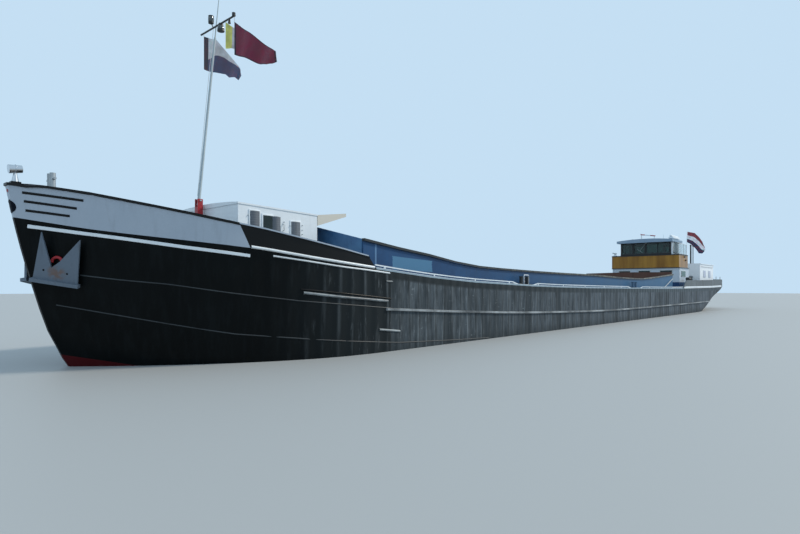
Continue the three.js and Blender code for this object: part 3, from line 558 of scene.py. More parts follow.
class Value:
    """An output of a shader node, which sums, products and comparisons are written with."""

    def __init__(self, graph: "Graph", socket: Socket) -> None:
        """Keeps the socket and the graph that further nodes go to."""
        self.graph = graph
        self.socket = socket

    __add__ = operator("ADD")
    __sub__ = operator("SUBTRACT")
    __rsub__ = operator("SUBTRACT", swapped=True)
    __mul__ = operator("MULTIPLY")
    __truediv__ = operator("DIVIDE")
    __lt__ = operator("LESS_THAN")
    __gt__ = operator("GREATER_THAN")

    def __abs__(self) -> "Value":
        """The value without its sign."""
        return self.graph.math("ABSOLUTE", self)


Inputs = dict[int | str, object]


class Graph:
    """A shader node tree while it is wired."""

    def __init__(self, tree: bpy.types.NodeTree) -> None:
        """Keeps the tree that nodes are added to."""
        self.tree = tree

    def feed(self, node: bpy.types.Node, inputs: Inputs) -> None:
        """Joins a node's inputs to values of the graph, or sets them.

        Args:
            node: the node.
            inputs: values by the input's name or its place in the node.
        """
        for key, value in inputs.items():
            if isinstance(value, Value):
                self.tree.links.new(value.socket, node.inputs[key])
            else:
                node.inputs[key].default_value = value

    def node(self, kind: str, inputs: Inputs | None = None, **settings: object) -> list[Value]:
        """The outputs of a new node with its settings and inputs.

        Args:
            kind: the node's type.
            inputs: values by the input's name or its place in the node.
            settings: the node's own settings by name.
        Returns:
            Its outputs, in order.
        """
        made = self.tree.nodes.new(kind)
        for key, value in settings.items():
            setattr(made, key, value)
        self.feed(made, inputs or {})
        return [Value(self, socket) for socket in made.outputs]

    def group(self, tree: bpy.types.NodeTree, **inputs: object) -> list[Value]:
        """The outputs of a shared effect with some of its inputs set."""
        return self.node("ShaderNodeGroup", inputs, node_tree=tree)

    def split(self, vector: Value) -> list[Value]:
        """A vector's three parts."""
        return self.node("ShaderNodeSeparateXYZ", {0: vector})

    def uv(self, name: str = "") -> list[Value]:
        """The two parts of a UV map, the first map if none is named."""
        return self.split(self.node("ShaderNodeUVMap", uv_map=name)[0])[:2]

    def object_place(self) -> Value:
        """The piece's own coordinates."""
        coordinates = self.tree.nodes.new("ShaderNodeTexCoord")
        return Value(self, coordinates.outputs["Object"])

    def place(self, *stretch: float) -> Value:
        """The piece's own coordinates, stretched."""
        return self.node("ShaderNodeMapping", {"Vector": self.object_place(),
                                               "Scale": stretch or (1, 1, 1)})[0]

    def math(self, operation: str, *values: object, clamp: bool = False) -> Value:
        """The value of a sum, product or other operation."""
        return self.node("ShaderNodeMath", dict(enumerate(values)), operation=operation,
                         use_clamp=clamp)[0]

    def most(self, *values: object) -> Value:
        """The larger of two values."""
        return self.math("MAXIMUM", *values)

    def least(self, *values: object) -> Value:
        """The smaller of two values."""
        return self.math("MINIMUM", *values)

    def mix(self, share: object, below: object, above: object) -> Value:
        """A colour between two others, each a value, a linear colour or a written one."""
        below, above = [grown(c) if isinstance(c, int) else c for c in (below, above)]
        return self.node("ShaderNodeMix", {0: share, 6: below, 7: above}, data_type="RGBA")[2]

    def band(self, value: Value, low: float, high: float) -> Value:
        """A soft step from 0 at low to 1 at high."""
        return self.node("ShaderNodeMapRange", {"Value": value, "From Min": low, "From Max": high},
                         interpolation_type="SMOOTHSTEP")[0]

    def noise(self, vector: Value, scale: float, detail: float = 4,
              roughness: float = 0.55) -> Value:
        """Cloudy variation from 0 to 1."""
        return self.node("ShaderNodeTexNoise", {"Vector": vector, "Scale": scale, "Detail": detail,
                                                "Roughness": roughness})[0]

    def bump(self, height: Value, distance: float, strength: float) -> Value:
        """A normal from a height."""
        return self.node("ShaderNodeBump", {"Height": height, "Distance": distance,
                                            "Strength": strength})[0]


def grown(hexadecimal: int) -> tuple[float, float, float, float]:
    """A linear colour from its usual written form.

    Args:
        hexadecimal: red, green and blue, two digits each.
    Returns:
        Red, green, blue and full alpha.
    """
    parts = [(hexadecimal >> shift & 255) / 255 for shift in (16, 8, 0)]
    linear = [p / 12.92 if p <= 0.04045 else ((p + 0.055) / 1.055) ** 2.4 for p in parts]
    return (*linear, 1.0)


class Effects:
    """Node groups that several finishes use, each built once."""

    @staticmethod
    def group(name: str, inputs: dict[str, tuple[str, object]], outputs: dict[str, str],
              wire: Callable[[Graph, dict[str, Value]], dict[str, Value]]) -> bpy.types.NodeTree:
        """A shader group, built the first time it is asked for.

        Args:
            name: its name.
            inputs: name to kind and default.
            outputs: name to kind.
            wire: wires the inside from the input values and gives the output values.
        Returns:
            The group.
        """
        found = bpy.data.node_groups.get(name)
        if found:
            return found
        tree = bpy.data.node_groups.new(name, "ShaderNodeTree")
        for key, (kind, value) in inputs.items():
            socket = tree.interface.new_socket(key, in_out="INPUT",
                                               socket_type="NodeSocket" + kind)
            socket.default_value = value
        for key, kind in outputs.items():
            tree.interface.new_socket(key, in_out="OUTPUT", socket_type="NodeSocket" + kind)
        graph = Graph(tree)
        enter = tree.nodes.new("NodeGroupInput")
        leave = tree.nodes.new("NodeGroupOutput")
        graph.feed(leave, wire(graph, {key: Value(graph, enter.outputs[key]) for key in inputs}))
        return tree

    @staticmethod
    def weather() -> bpy.types.NodeTree:
        """Paint weathering: faded clouds, grime in streaks down the sides, and rust spots.

        Returns:
            The group.
        """

        def wire(g: Graph, i: dict[str, Value]) -> dict[str, Value]:
            """Wires the weathering.

            Args:
                g: the group's tree.
                i: its input values by name.
            Returns:
                Its output values by name.
            """
            clouds = g.noise(g.place(), 1.7, 5, 0.6)
            fine = g.noise(g.place(), 38, 3)
            streak = g.noise(g.place(9, 9, 0.7), 1.6, 4, 0.65)
            colour = g.mix(g.band(clouds, 0.35, 0.7) * i["Fade"], i["Paint"], i["Faded"])
            colour = g.mix(g.band(fine, 0.3, 0.7) * 0.2, colour, i["Faded"])
            dirty = g.band(streak, 0.5, 0.78) * i["Grime"]
            colour = g.mix(dirty, colour, i["Dirt"])
            spots = g.band(g.noise(g.place(1, 1, 0.55), 13, 6, 0.7), 0.62, 0.7)
            rust = spots * g.band(g.noise(g.place(), 0.9, 2), 0.4, 0.75) * i["Rust"]
            colour = g.mix(rust, colour, (0.13, 0.045, 0.016, 1))
            rough = g.math("ADD", i["Roughness"] + clouds * 0.16, g.most(rust, dirty) * 0.25,
                           clamp=True)
            return {"Colour": colour, "Roughness": rough, "Height": fine * 0.12 - rust * 0.8}

        return Effects.group("paint_weather", {
            "Paint": ("Color", (0.5, 0.5, 0.5, 1)), "Faded": ("Color", (0.6, 0.6, 0.6, 1)),
            "Dirt": ("Color", (0.08, 0.07, 0.06, 1)), "Fade": ("Float", 0.4),
            "Grime": ("Float", 0.3), "Rust": ("Float", 0.3), "Roughness": ("Float", 0.4),
        }, {"Colour": "Color", "Roughness": "Float", "Height": "Float"}, wire)

    @staticmethod
    def grain() -> bpy.types.NodeTree:
        """Wood grain along one way of the stretched coordinates.

        Returns:
            The group.
        """

        def wire(g: Graph, i: dict[str, Value]) -> dict[str, Value]:
            """Wires the grain.

            Args:
                g: the group's tree.
                i: its input values by name.
            Returns:
                Its output values by name.
            """
            stretched = g.node("ShaderNodeVectorMath", {0: g.object_place(), 1: i["Stretch"]},
                               operation="MULTIPLY")[0]
            lines = g.noise(stretched, 14, 8, 0.7)
            figure = g.noise(stretched, 3.2, 4, 0.5)
            tone = g.mix(g.band(figure, 0.3, 0.7), i["Dark"], i["Light"])
            colour = g.mix(g.band(lines, 0.52, 0.72) * 0.55, tone, i["Dark"])
            return {"Colour": colour, "Height": lines}

        return Effects.group("wood_grain", {
            "Stretch": ("Vector", (1, 1, 8)), "Dark": ("Color", (0.1, 0.05, 0.02, 1)),
            "Light": ("Color", (0.4, 0.25, 0.1, 1)),
        }, {"Colour": "Color", "Height": "Float"}, wire)

    @staticmethod
    def weave() -> bpy.types.NodeTree:
        """Plain weave of a flag's cloth on its UV map, with soft creases.

        Returns:
            The group.
        """

        def wire(g: Graph, i: dict[str, Value]) -> dict[str, Value]:
            """Wires the weave."""
            warp, weft = [g.math("SINE", part * i["Threads"]) for part in g.uv()]
            return {"Thread": warp * weft * 0.5 + 0.5, "Crease": g.noise(g.place(), 7, 5, 0.6)}

        return Effects.group("flag_weave", {"Threads": ("Float", 700.0)},
                             {"Thread": "Float", "Crease": "Float"}, wire)


@dataclass(frozen=True)
class Finish:
    """A surface finish, made as a material the first time it is used."""

    name: str
    slot: str | None = None

    def material(self) -> bpy.types.Material:
        """The finish's material, built once.

        Returns:
            The material.
        """
        found = bpy.data.materials.get(self.name)
        if found:
            return found
        made = bpy.data.materials.new(self.name)
        made.use_nodes = True
        graph = Graph(made.node_tree)
        graph.feed(made.node_tree.nodes["Principled BSDF"], self.wire(graph))
        return made

    def wire(self, g: Graph) -> Inputs:
        """Builds the finish's nodes and gives its shader's inputs."""
        raise NotImplementedError


@dataclass(frozen=True)
class Paint(Finish):
    """Weathered paint on steel."""

    colour: int = 0x808080
    faded: int = 0xA0A0A0
    fade: float = 0.4
    grime: float = 0.3
    rust: float = 0.3
    roughness: float = 0.35
    dirt: int = 0x3A352E
    shine: float = 0.5

    def coat(self, g: Graph) -> list[Value]:
        """The weathering group's colour, roughness and height with this paint's values."""
        return g.group(Effects.weather(), Paint=grown(self.colour), Faded=grown(self.faded),
                       Dirt=grown(self.dirt), Fade=self.fade, Grime=self.grime, Rust=self.rust,
                       Roughness=self.roughness)

    def wire(self, g: Graph) -> Inputs:
        """Takes the weathering as it is."""
        return self.finished(g, *self.coat(g))

    def finished(self, g: Graph, colour: Value, rough: Value, height: Value,
                 depth: float = 0.0015, strength: float = 0.5) -> Inputs:
        """The shader's inputs from a weathered colour, roughness and relief.

        Args:
            g: the material's tree.
            colour: the paint's colour.
            rough: its roughness.
            height: its relief.
            depth: how deep the relief is.
            strength: how much of it shows.
        Returns:
            The shader's inputs.
        """
        return {"Base Color": colour, "Roughness": rough,
                "Normal": g.bump(height, depth, strength), "Specular IOR Level": self.shine}


@dataclass(frozen=True)
class HullPaint(Paint):
    """Black hull paint: clean and smooth forward, chalked over the frames further aft.

    Its UV map holds metres aft of the stem head and metres below the deck edge. The pale line is
    given by its start, its end and its depth under the deck edge. The red boot is given by a place
    aft, its top's height there, its slope and its least height.
    """

    chalk_start: float = 4.82
    dust: tuple[float, float] = (2.6, 4.4)
    distance: tuple[float, float] = (4.5, 22)
    frame_spacing: float = 0.25
    pale_line: tuple[float, float, float] = (4.48, 21.6, 0.03)
    boot: tuple[float, float, float, float] = (0.575, 0.55, 0.226, 0.3)

    def wire(self, g: Graph) -> Inputs:
        """Adds frame lines, plate hollows, chalk and the red boot to the weathering, with painted
        highlight and shade at the frames, painted distance haze aft and darkening towards the
        waterline.

        Args:
            g: the material's tree.
        Returns:
            The shader's inputs.
        """
        colour, rough, relief = self.coat(g)
        aft, below = g.uv()
        height = g.split(g.place())[2]
        chalky = g.band(aft, self.chalk_start - 0.012, self.chalk_start + 0.012)
        dusty = g.band(aft, *self.dust) * 0.6
        either = g.most(chalky, dusty)
        # far lightens the chalk and the deck edge band towards the stern: painted distance haze.
        far = g.band(aft, *self.distance)
        wander = g.noise(g.place(1, 1, 0.6), 1.1, 2) * 0.14 - 0.07
        bays = (aft + wander) / self.frame_spacing
        bay = g.math("FRACT", bays)
        chance = g.node("ShaderNodeTexWhiteNoise", {"W": g.math("FLOOR", bays)},
                        noise_dimensions="1D")[0]
        worn = g.noise(g.place(5, 5, 0.8), 1.3, 6, 0.68)
        streaks = g.noise(g.place(6, 6, 0.9), 1.9, 7, 0.72)
        scuffs = g.noise(g.place(2, 2, 6), 2.2, 5, 0.7)
        chalk = chalky * (g.band(worn, 0.3, 0.62) * 0.5 + 0.4)
        dark_streaks = g.band(streaks, 0.54, 0.34) * g.most(chalky, 0.3)
        pale_streaks = g.band(streaks, 0.56, 0.72) * either
        # Pale lines at the frames are partly scuffed paint and partly painted highlight on the
        # frame ridges; the dark line just aft of each frame is painted shade.
        frame_wear_and_highlight = g.band(abs(bay - 0.5), 0.30, 0.5) * g.band(worn, 0.40, 0.66) * either
        frame_shade = g.band(bay, 0.0, 0.05) * (1.0 - g.band(bay, 0.06, 0.2)) * either
        deck_edge = chalky * (1.0 - g.band(below, 0.12, 0.18))
        start, end, depth = self.pale_line
        place, top, slope, least = self.boot
        for share, tone in (
                (dusty, 0x272D30),
                (chalk, g.mix(far, 0x50585E, 0x66707A)),
                (dark_streaks * 0.6, 0x1E2427),
                (pale_streaks * 0.6, 0x8A9298),
                (frame_wear_and_highlight * 0.45, 0x858D92),
                (frame_shade * 0.55, 0x15191B),
                (g.band(chance, 0.35, 0.95) * chalky * 0.55, 0x23292C),
                (chalky * g.band(scuffs, 0.62, 0.74) * 0.5, 0x8A9296),
                (deck_edge * 0.9, g.mix(far, 0x24292B, 0x4A545A)),
                ((aft > start) * (aft < end) * (below < depth), 0x8FA0AC),
                (g.band(height, 0.62, 0.37) * chalky * 0.55, 0x2A3033),
                (height < g.most(top - (aft - place) * slope, least), 0x461014)):
            colour = g.mix(share, colour, tone)
        rough = g.math("ADD", rough, chalk * 0.2, clamp=True)
        hollows = g.math("COSINE", bay * (2 * math.pi))
        relief = hollows * 0.45 + g.noise(g.place(), 1.4, 2) * 1.2 + relief * 0.05
        return self.finished(g, colour, rough, relief, 0.011, 0.9)


@dataclass(frozen=True)
class BandPaint(Paint):
    """The bow bulwark's paint: white, dimmed and blued as painted shade, ahead of a slanting edge
    and black abaft it.

    The rail is black over the white part and white over the black part. Its UV map holds metres
    aft of the stem head and above the deck edge, and its map "rail" metres below the rail's top.
    """

    top: float = 2.30
    foot: float = 2.459
    height: float = 0.26
    rail: float = 0.036
    cap: float = 0.02
    rail_end: float = 4.305
    black: int = 0x050607

    def wire(self, g: Graph) -> Inputs:
        """Puts the white weathering ahead of the slanting edge.

        Args:
            g: the material's tree.
        Returns:
            The shader's inputs.
        """
        light = self.coat(g)
        dark = replace(self, colour=self.black, faded=0x0B0D0F, grime=0.0, rust=0.0).coat(g)
        aft, above = g.uv("UVMap")
        depth = g.uv("rail")[1]
        ahead = aft < self.foot - above * ((self.foot - self.top) / self.height)
        capped = (1.0 - ahead) * (aft < self.rail_end) * (depth < self.cap)
        white = ahead * (1.0 - (depth < self.rail)) + capped
        return self.finished(g, g.mix(white, dark[0], light[0]), *light[1:])


@dataclass(frozen=True)
class FootPaint(Paint):
    """House paint with another colour below a height."""

    foot: int = 0x163E68
    foot_faded: int = 0x285480
    level: float = 1.62

    def wire(self, g: Graph) -> Inputs:
        """Puts the foot's colour below its level.

        Args:
            g: the material's tree.
        Returns:
            The shader's inputs.
        """
        colour, rough, relief = self.coat(g)
        foot = replace(self, colour=self.foot, faded=self.foot_faded).coat(g)[0]
        low = g.split(g.place())[2] < self.level
        return self.finished(g, g.mix(low, colour, foot), rough, relief)


@dataclass(frozen=True)
class AnchorPaint(Paint):
    """Anchor paint with rust running down from its crown, the same on both sides.

    crown is its distance from the centreline and its height in the frame.
    """

    crown: tuple[float, float] = (0.36, 1.60)

    def wire(self, g: Graph) -> Inputs:
        """Mixes the rust in below the crown.

        Args:
            g: the material's tree.
        Returns:
            The shader's inputs.
        """
        colour, rough, relief = self.coat(g)
        _, y, z = g.split(g.place())
        off = abs(y) - self.crown[0]
        drop = z - self.crown[1]
        near = 1.0 - g.band(off * off * 1.6 + drop * drop, 0.0, 0.012)
        stain = near * g.band(g.noise(g.place(), 16, 5), 0.35, 0.6) * 0.7
        return self.finished(g, g.mix(stain, colour, 0x6A4A34), rough, relief)


@dataclass(frozen=True)
class CoamingPaint(Paint):
    """Blue coaming paint, lighter aft as painted distance haze and sunlight, with a touched-up
    patch, a buff flange and painted shade under it.

    Its UV map holds metres aft of the stem head and metres below the coaming's top. The patch is
    given by its ends, and its foot and top by a height and a slope. The strip is given by its ends
    and its foot. All three are in the frame's metres, and flange is the flange's depth.
    """

    distance: tuple[float, float] = (5, 20)
    patch: tuple[float, float] = (-9.82, -8.728)
    patch_foot: tuple[float, float] = (1.726, 0.020)
    patch_top: tuple[float, float] = (1.957, 0.044)
    strip: tuple[float, float, float] = (-10.251, -10.215, 1.791)
    flange: float = 0.043

    def wire(self, g: Graph) -> Inputs:
        """Lays the painted haze, the patches, the painted shade under the flange and the flange
        over the weathering.

        Args:
            g: the material's tree.
        Returns:
            The shader's inputs.
        """
        colour, rough, relief = self.coat(g)
        aft, below = g.uv()
        x, y, z = g.split(g.place())
        # far lightens the blue and the flange towards the stern: painted distance haze and
        # sunlight.
        far = g.band(aft, *self.distance)
        start, end = self.patch
        ragged = x + (g.noise(g.place(3, 3, 8), 2.4, 5, 0.7) * 0.07 - 0.035)
        foot, top = [z + (x - start) * slope for _, slope in (self.patch_foot, self.patch_top)]
        patch = (ragged > start) * (ragged < end) * (foot > self.patch_foot[0])
        patch = patch * (top < self.patch_top[0]) * (y < 0.0)
        strip = (x > self.strip[0]) * (x < self.strip[1]) * (z > self.strip[2])
        worn = g.band(g.noise(g.place(4, 4, 4), 3, 5, 0.7), 0.4, 0.62)
        for share, tone in (
                (far * 0.6, 0x3E6E90),
                (patch * 0.8, 0x4E7E9E),
                (strip * 0.6, 0x6E94B8),
                # A dark band just under the flange: painted shade cast by the flange.
                ((1.0 - g.band(below, 0.046, 0.075)) * 0.4, 0x14243A),
                (below < self.flange, g.mix(worn * far, 0x2C3032, 0x8E8A7C))):
            colour = g.mix(share, colour, tone)
        return self.finished(g, colour, rough, relief)


@dataclass(frozen=True)
class Wood(Finish):
    """Varnished wood with its grain stretched along one way."""

    dark: int = 0x6B4A22
    light: int = 0xA8793A
    stretch: tuple[float, float, float] = (1, 1, 8)
    roughness: float = 0.3

    def wire(self, g: Graph) -> Inputs:
        """Joins the grain group to the shader.

        Args:
            g: the material's tree.
        Returns:
            The shader's inputs.
        """
        colour, lines = g.group(Effects.grain(), Stretch=self.stretch, Dark=grown(self.dark),
                                Light=grown(self.light))
        return {"Base Color": colour, "Normal": g.bump(lines, 0.0008, 0.4),
                "Roughness": self.roughness, "Specular IOR Level": 0.25, "Coat Weight": 0.1,
                "Coat Roughness": 0.12}


@dataclass(frozen=True)
class Glass(Finish):
    """Tinted window or lamp glass."""

    tint: int = 0x3E5A55
    clear: float = 0.9

    def wire(self, g: Graph) -> Inputs:
        """Sets a thin tinted glass with a faint film of dust.

        Args:
            g: the material's tree.
        Returns:
            The shader's inputs.
        """
        dust = g.band(g.noise(g.place(), 5, 4), 0.45, 0.8) * 0.12
        return {"Base Color": g.mix(dust, self.tint, (0.3, 0.3, 0.28, 1)), "Roughness": 0.04,
                "Transmission Weight": self.clear, "IOR": 1.45}


@dataclass(frozen=True)
class Metal(Finish):
    """Bare or plated metal with brushed variation."""

    colour: int = 0xB8BCC0
    stain: int = 0x6E7074
    roughness: float = 0.3
    metallic: float = 1.0

    def wire(self, g: Graph) -> Inputs:
        """Varies colour and roughness over the metal.

        Args:
            g: the material's tree.
        Returns:
            The shader's inputs.
        """
        cloud = g.noise(g.place(), 6, 5, 0.6)
        share = g.band(cloud, 0.4, 0.75) * 0.4
        rough = g.math("ADD", self.roughness - 0.06, cloud * 0.2, clamp=True)
        return {"Base Color": g.mix(share, self.colour, self.stain), "Roughness": rough,
                "Normal": g.bump(g.noise(g.place(), 90, 2), 0.0004, 0.3),
                "Metallic": self.metallic}


@dataclass(frozen=True)
class FlagCloth(Finish):
    """Thin woven cloth in stripes, which may slant, with a rolled hoist and darker hems.

    Each stripe has its start, as a share up the cloth or along it, and its colour. roll and hem
    have their widths as shares, 0 for none, and their colours.
    """

    stripes: tuple[tuple[float, int], ...] = ((0.0, 0xFFFFFF),)
    lengthways: bool = False
    slant: float = 0.0
    roll: tuple[float, int] = (0.0, 0x202020)
    hem: tuple[float, int] = (0.0, 0x202020)

    def wire(self, g: Graph) -> Inputs:
        """Lays the stripes on the UV map with the weave over them.

        Args:
            g: the material's tree.
        Returns:
            The shader's inputs.
        """
        thread, crease = g.group(Effects.weave())
        u, v = g.uv()
        share = u if self.lengthways else v - u * self.slant
        colour: object = grown(self.stripes[0][1])
        for start, tint in self.stripes[1:]:
            colour = g.mix(share > start, colour, tint)
        if self.roll[0]:
            colour = g.mix(u < self.roll[0], colour, self.roll[1])
        if self.hem[0]:
            inset = g.least(g.least(v, 1.0 - v), g.least(u, 1.0 - u))
            colour = g.mix(inset < self.hem[0], colour, self.hem[1])
        # Darker where the crease noise is high: painted shade in the creases.
        colour = g.mix(g.band(crease, 0.3, 0.75) * 0.4, colour, (0.05, 0.05, 0.06, 1))
        return {"Base Color": colour, "Normal": g.bump(thread * 0.15 + crease, 0.012, 0.7),
                "Roughness": 0.85, "Sheen Weight": 0.2, "Subsurface Weight": 0.1}


HULL_BLACK = HullPaint("hull_black", "black_paint", 0x040708, 0x090D0E, 0.6, 0.2, 0.05, 0.34,
                       0x080B0C, 0.1)
GLOSS_BLACK = Paint("gloss_black", "black_paint", 0x080A0C, 0x101416, 0.4, 0.15, 0.1, 0.30,
                    0x0C1012, 0.2)
BOTTOM_BLACK = Paint("bottom_black", "black_paint", 0x15171A, 0x24262A, 0.5, 0.4, 0.5, 0.55)
STRAKE_BLACK = Paint("strake_black", "black_paint", 0x3A3F42, 0xA8AEB2, 0.9, 0.2, 0.2, 0.4)
# Light grey on the rounded bars is partly worn steel and partly painted highlight.
WORN_HIGHLIT_EDGE = Paint("worn_edge", "black_paint", 0x4A5054, 0x9CA4A8, 0.9, 0.3, 0.1, 0.35)
BRIGHT_EDGE = Paint("bright_edge", "white_paint", 0xE6EAEC, 0xB6BEC4, 0.35, 0.15, 0.2, 0.3)
# The bulwark's white is the house white dimmed and blued: painted shade, the bow lying in shade.
SHADED_BULWARK_PAINT = BandPaint("bulwark_paint", "white_paint", 0xA6B0BC, 0x98A4B2, 0.35, 0.12, 0.04,
                          0.30, shine=0.25)
WHITE_PAINT = Paint("white_gloss", "white_paint", 0xE2E7EB, 0xCFD7DE, 0.4, 0.12, 0.12, 0.30)
# The cabin's white is brighter than the house white: painted light.
LIT_CABIN_WHITE = Paint("cabin_white", "white_paint", 0xF6F8FA, 0xECF0F4, 0.3, 0.06, 0.05, 0.30)
TRIM_WHITE = Paint("trim_white", "white_paint", 0xE0E6EA, 0xB8C2CA, 0.5, 0.3, 0.25, 0.35)
FOOT_WHITE = FootPaint("house_white", "white_paint", 0xC6D0DA, 0xB2BFCC, 0.4, 0.12, 0.1, 0.30)
COAMING_BLUE = CoamingPaint("coaming_blue", "blue_paint", 0x0E3860, 0x1A4C78, 0.6, 0.22, 0.15,
                            0.38, shine=0.3)
BLUE_PAINT = Paint("plain_blue", "blue_paint", 0x27537F, 0x4D7CA4, 0.75, 0.2, 0.2, 0.35)
DARK_BLUE = Paint("foot_blue", "blue_paint", 0x0E2138, 0x16304C, 0.4, 0.2, 0.1, 0.35)
BOLLARD_BLUE = Paint("bollard_blue", "blue_paint", 0x3E5A76, 0x56748E, 0.5, 0.3, 0.3, 0.4)
# Near-black for the fairlead's opening: painted shade.
HOLE_SHADE = Paint("fairlead_navy", "blue_paint", 0x060C18, 0x0A1422, 0.3, 0.0, 0.0, 0.5, shine=0.1)
RED_PAINT = Paint("signal_red", "red_paint", 0xA01520, 0x8A2B30, 0.3, 0.1, 0.1, 0.3)
DECK_GREY = Paint("deck_grey", "grey_paint", 0x5E666B, 0x7A8084, 0.6, 0.5, 0.6, 0.6)
STERN_GREY = Paint("stern_grey", "grey_paint", 0x4C5458, 0x687074, 0.6, 0.9, 0.5, 0.4)
HOLD_BROWN = Paint("hold_primer", "brown_paint", 0x5A3A30, 0x6E5448, 0.6, 0.5, 0.9, 0.65)
PALE_PAINT = Paint("pale_grey", "pale_grey_paint", 0xB4BABC, 0xC8CCCC, 0.5, 0.25, 0.4, 0.4)
MAST_PAINT = Paint("mast_grey", "pale_grey_paint", 0x9AA8AE, 0xB4C0C6, 0.5, 0.2, 0.1, 0.4)
ROOF_PAINT = Paint("roof_blue", "roof_blue_paint", 0x7D96AD, 0x93A8BA, 0.5, 0.15, 0.05, 0.35)
DARK_PAINT = Paint("deck_gear_black", "dark_paint", 0x1A1D1F, 0x34383A, 0.6, 0.3, 0.5, 0.5)
DARK_TRIM = Paint("dark_trim", "dark_paint", 0x16181A, 0x26292B, 0.4, 0.1, 0.0, 0.4)
RUST_CAST = Paint("cast_iron", "cast_metal", 0x2E2A28, 0x4A3A30, 0.7, 0.4, 1.0, 0.6)
ANCHOR_PAINT = AnchorPaint("anchor_grey", "pale_grey_paint", 0x606C7A, 0x525E6A, 0.5, 0.3, 0.7,
                           0.5)
AWNING = Paint("awning_board", "awning_board", 0xB8BDC0, 0xA6ABB0, 0.5, 0.3, 0.0, 0.7)
LID_STEEL = Paint("lid_steel", "pale_grey_paint", 0x666C74, 0x4C525A, 0.6, 0.4, 0.1, 0.45)
DEADLIGHT = Paint("deadlight_white", "white_paint", 0xC4CADC, 0xB4BCD0, 0.6, 0.2, 0.1, 0.4)
SEAM_LINE = Paint("seam_line", "black_paint", 0x1C2226, 0x2E363A, 0.8, 0.2, 0.0, 0.4)
DODGER_WOOD = Wood("dodger_varnish", "varnished_wood", 0x7E5418, 0xA87A2C, (1, 1, 0.12))
DOOR_WOOD = Wood("door_varnish", "varnished_wood", 0x5E3A1C, 0x8C5E30, (6, 6, 0.5))
FLOOR_WOOD = Wood("floor_boards", "floor_wood", 0x4A3324, 0x6E4E36, (0.4, 5, 5), 0.6)
WINDOW_GLASS = Glass("window_glass", None, 0x4A6E68, 0.9)
DARK_GLASS = Glass("dark_glass", None, 0x1E3230, 0.55)
GREEN_GLASS = Glass("green_glass", None, 0x2E6650, 0.4)
CLEAR_GLASS = Glass("clear_lens", None, 0xD8E4E6, 0.9)
CHROME = Metal("bright_plate", "bright_metal", 0xC8CCD0, 0x8A8F94, 0.16)
GALVANISED = Metal("galvanised", "aluminium", 0xA6ACAF, 0x7C8286, 0.42, 0.75)
BRONZE = Metal("propeller_bronze", "bronze", 0x9C7A3C, 0x5C5A3C, 0.3)
LEATHER = Paint("chair_cover", "chair_cover", 0x1B1B1D, 0x2A2A2C, 0.5, 0.1, 0.0, 0.55)


# Fitting pieces


def coat(mesh: bpy.types.Mesh, *finishes: Finish) -> None:
    """Gives a mesh these finishes in place of its own.

    Args:
        mesh: the mesh.
        finishes: what its faces can have, by their places.
    """
    mesh.materials.clear()
    for finish in finishes:
        mesh.materials.append(finish.material())


def dress(node: str, finish: Finish) -> None:
    """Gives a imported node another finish."""
    coat(frame["nodes"][node].data, finish)


def fix(piece: Object, body: str, slot: str | None) -> None:
    """Sets the body that a piece rides on, and reports it.

    Args:
        piece: the piece.
        body: the body's name.
        slot: not used.
    """
    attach(piece, body)
    log.info("%s: %d faces on %s", piece.name, len(piece.data.polygons), body)


def mount(piece: Object, finish: Finish, body: str = "barge") -> None:
    """Gives a piece one finish and the body that it rides on."""
    coat(piece.data, finish)
    fix(piece, body, finish.slot)


def mount_joined(name: str, parts: Sequence[Object], finish: Finish, body: str = "barge") -> None:
    """Joins parts into one piece and mounts it."""
    mount(Bench.join(name, parts), finish, body)


def mount_pair(name: str, parts: Sequence[Object], finish: Finish) -> None:
    """Joins the port side's parts and mounts them with their mirrored copy to starboard.

    Args:
        name: both names up to the side's word.
        parts: the port side's parts.
        finish: the finish of both.
    """
    port = Bench.join(f"{name}_{Side.PORT.word}", parts)
    starboard = Bench.mirrored(port, f"{name}_{Side.STARBOARD.word}")
    mount(port, finish)
    mount(starboard, finish)


def reskin(node: str, name: str, finishes: Sequence[Finish],
           choose: Callable[[float, float, float, Vector], int]) -> bpy.types.Mesh:
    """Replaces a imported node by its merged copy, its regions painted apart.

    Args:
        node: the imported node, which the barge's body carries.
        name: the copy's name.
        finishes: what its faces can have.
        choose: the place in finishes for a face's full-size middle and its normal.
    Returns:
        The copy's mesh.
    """
    piece = Bench.skin_of(node, name)
    mesh = piece.data
    coat(mesh, *finishes)
    for face in mesh.polygons:
        face.material_index = choose(*full(face.center), face.normal)
    fix(piece, "barge", finishes[0].slot)
    return mesh


def map_below(mesh: bpy.types.Mesh, rows: Sequence[Row], name: str = "UVMap",
              sign: int = 1) -> None:
    """Writes metres aft of the stem head and below a line, or above it, as a UV map.

    Args:
        mesh: the mesh.
        rows: the line's full-size (x, z).
        name: the map's name.
        sign: 1 for metres below, and -1 for metres above.
    """
    layer = mesh.uv_layers.get(name) or mesh.uv_layers.new(name=name)
    for loop in mesh.loops:
        place = mesh.vertices[loop.vertex_index].co
        x, _, z = full(place)
        layer.data[loop.index].uv = (x * MM, sign * (along(rows, x) - z) * MM)


# Sub-assemblies


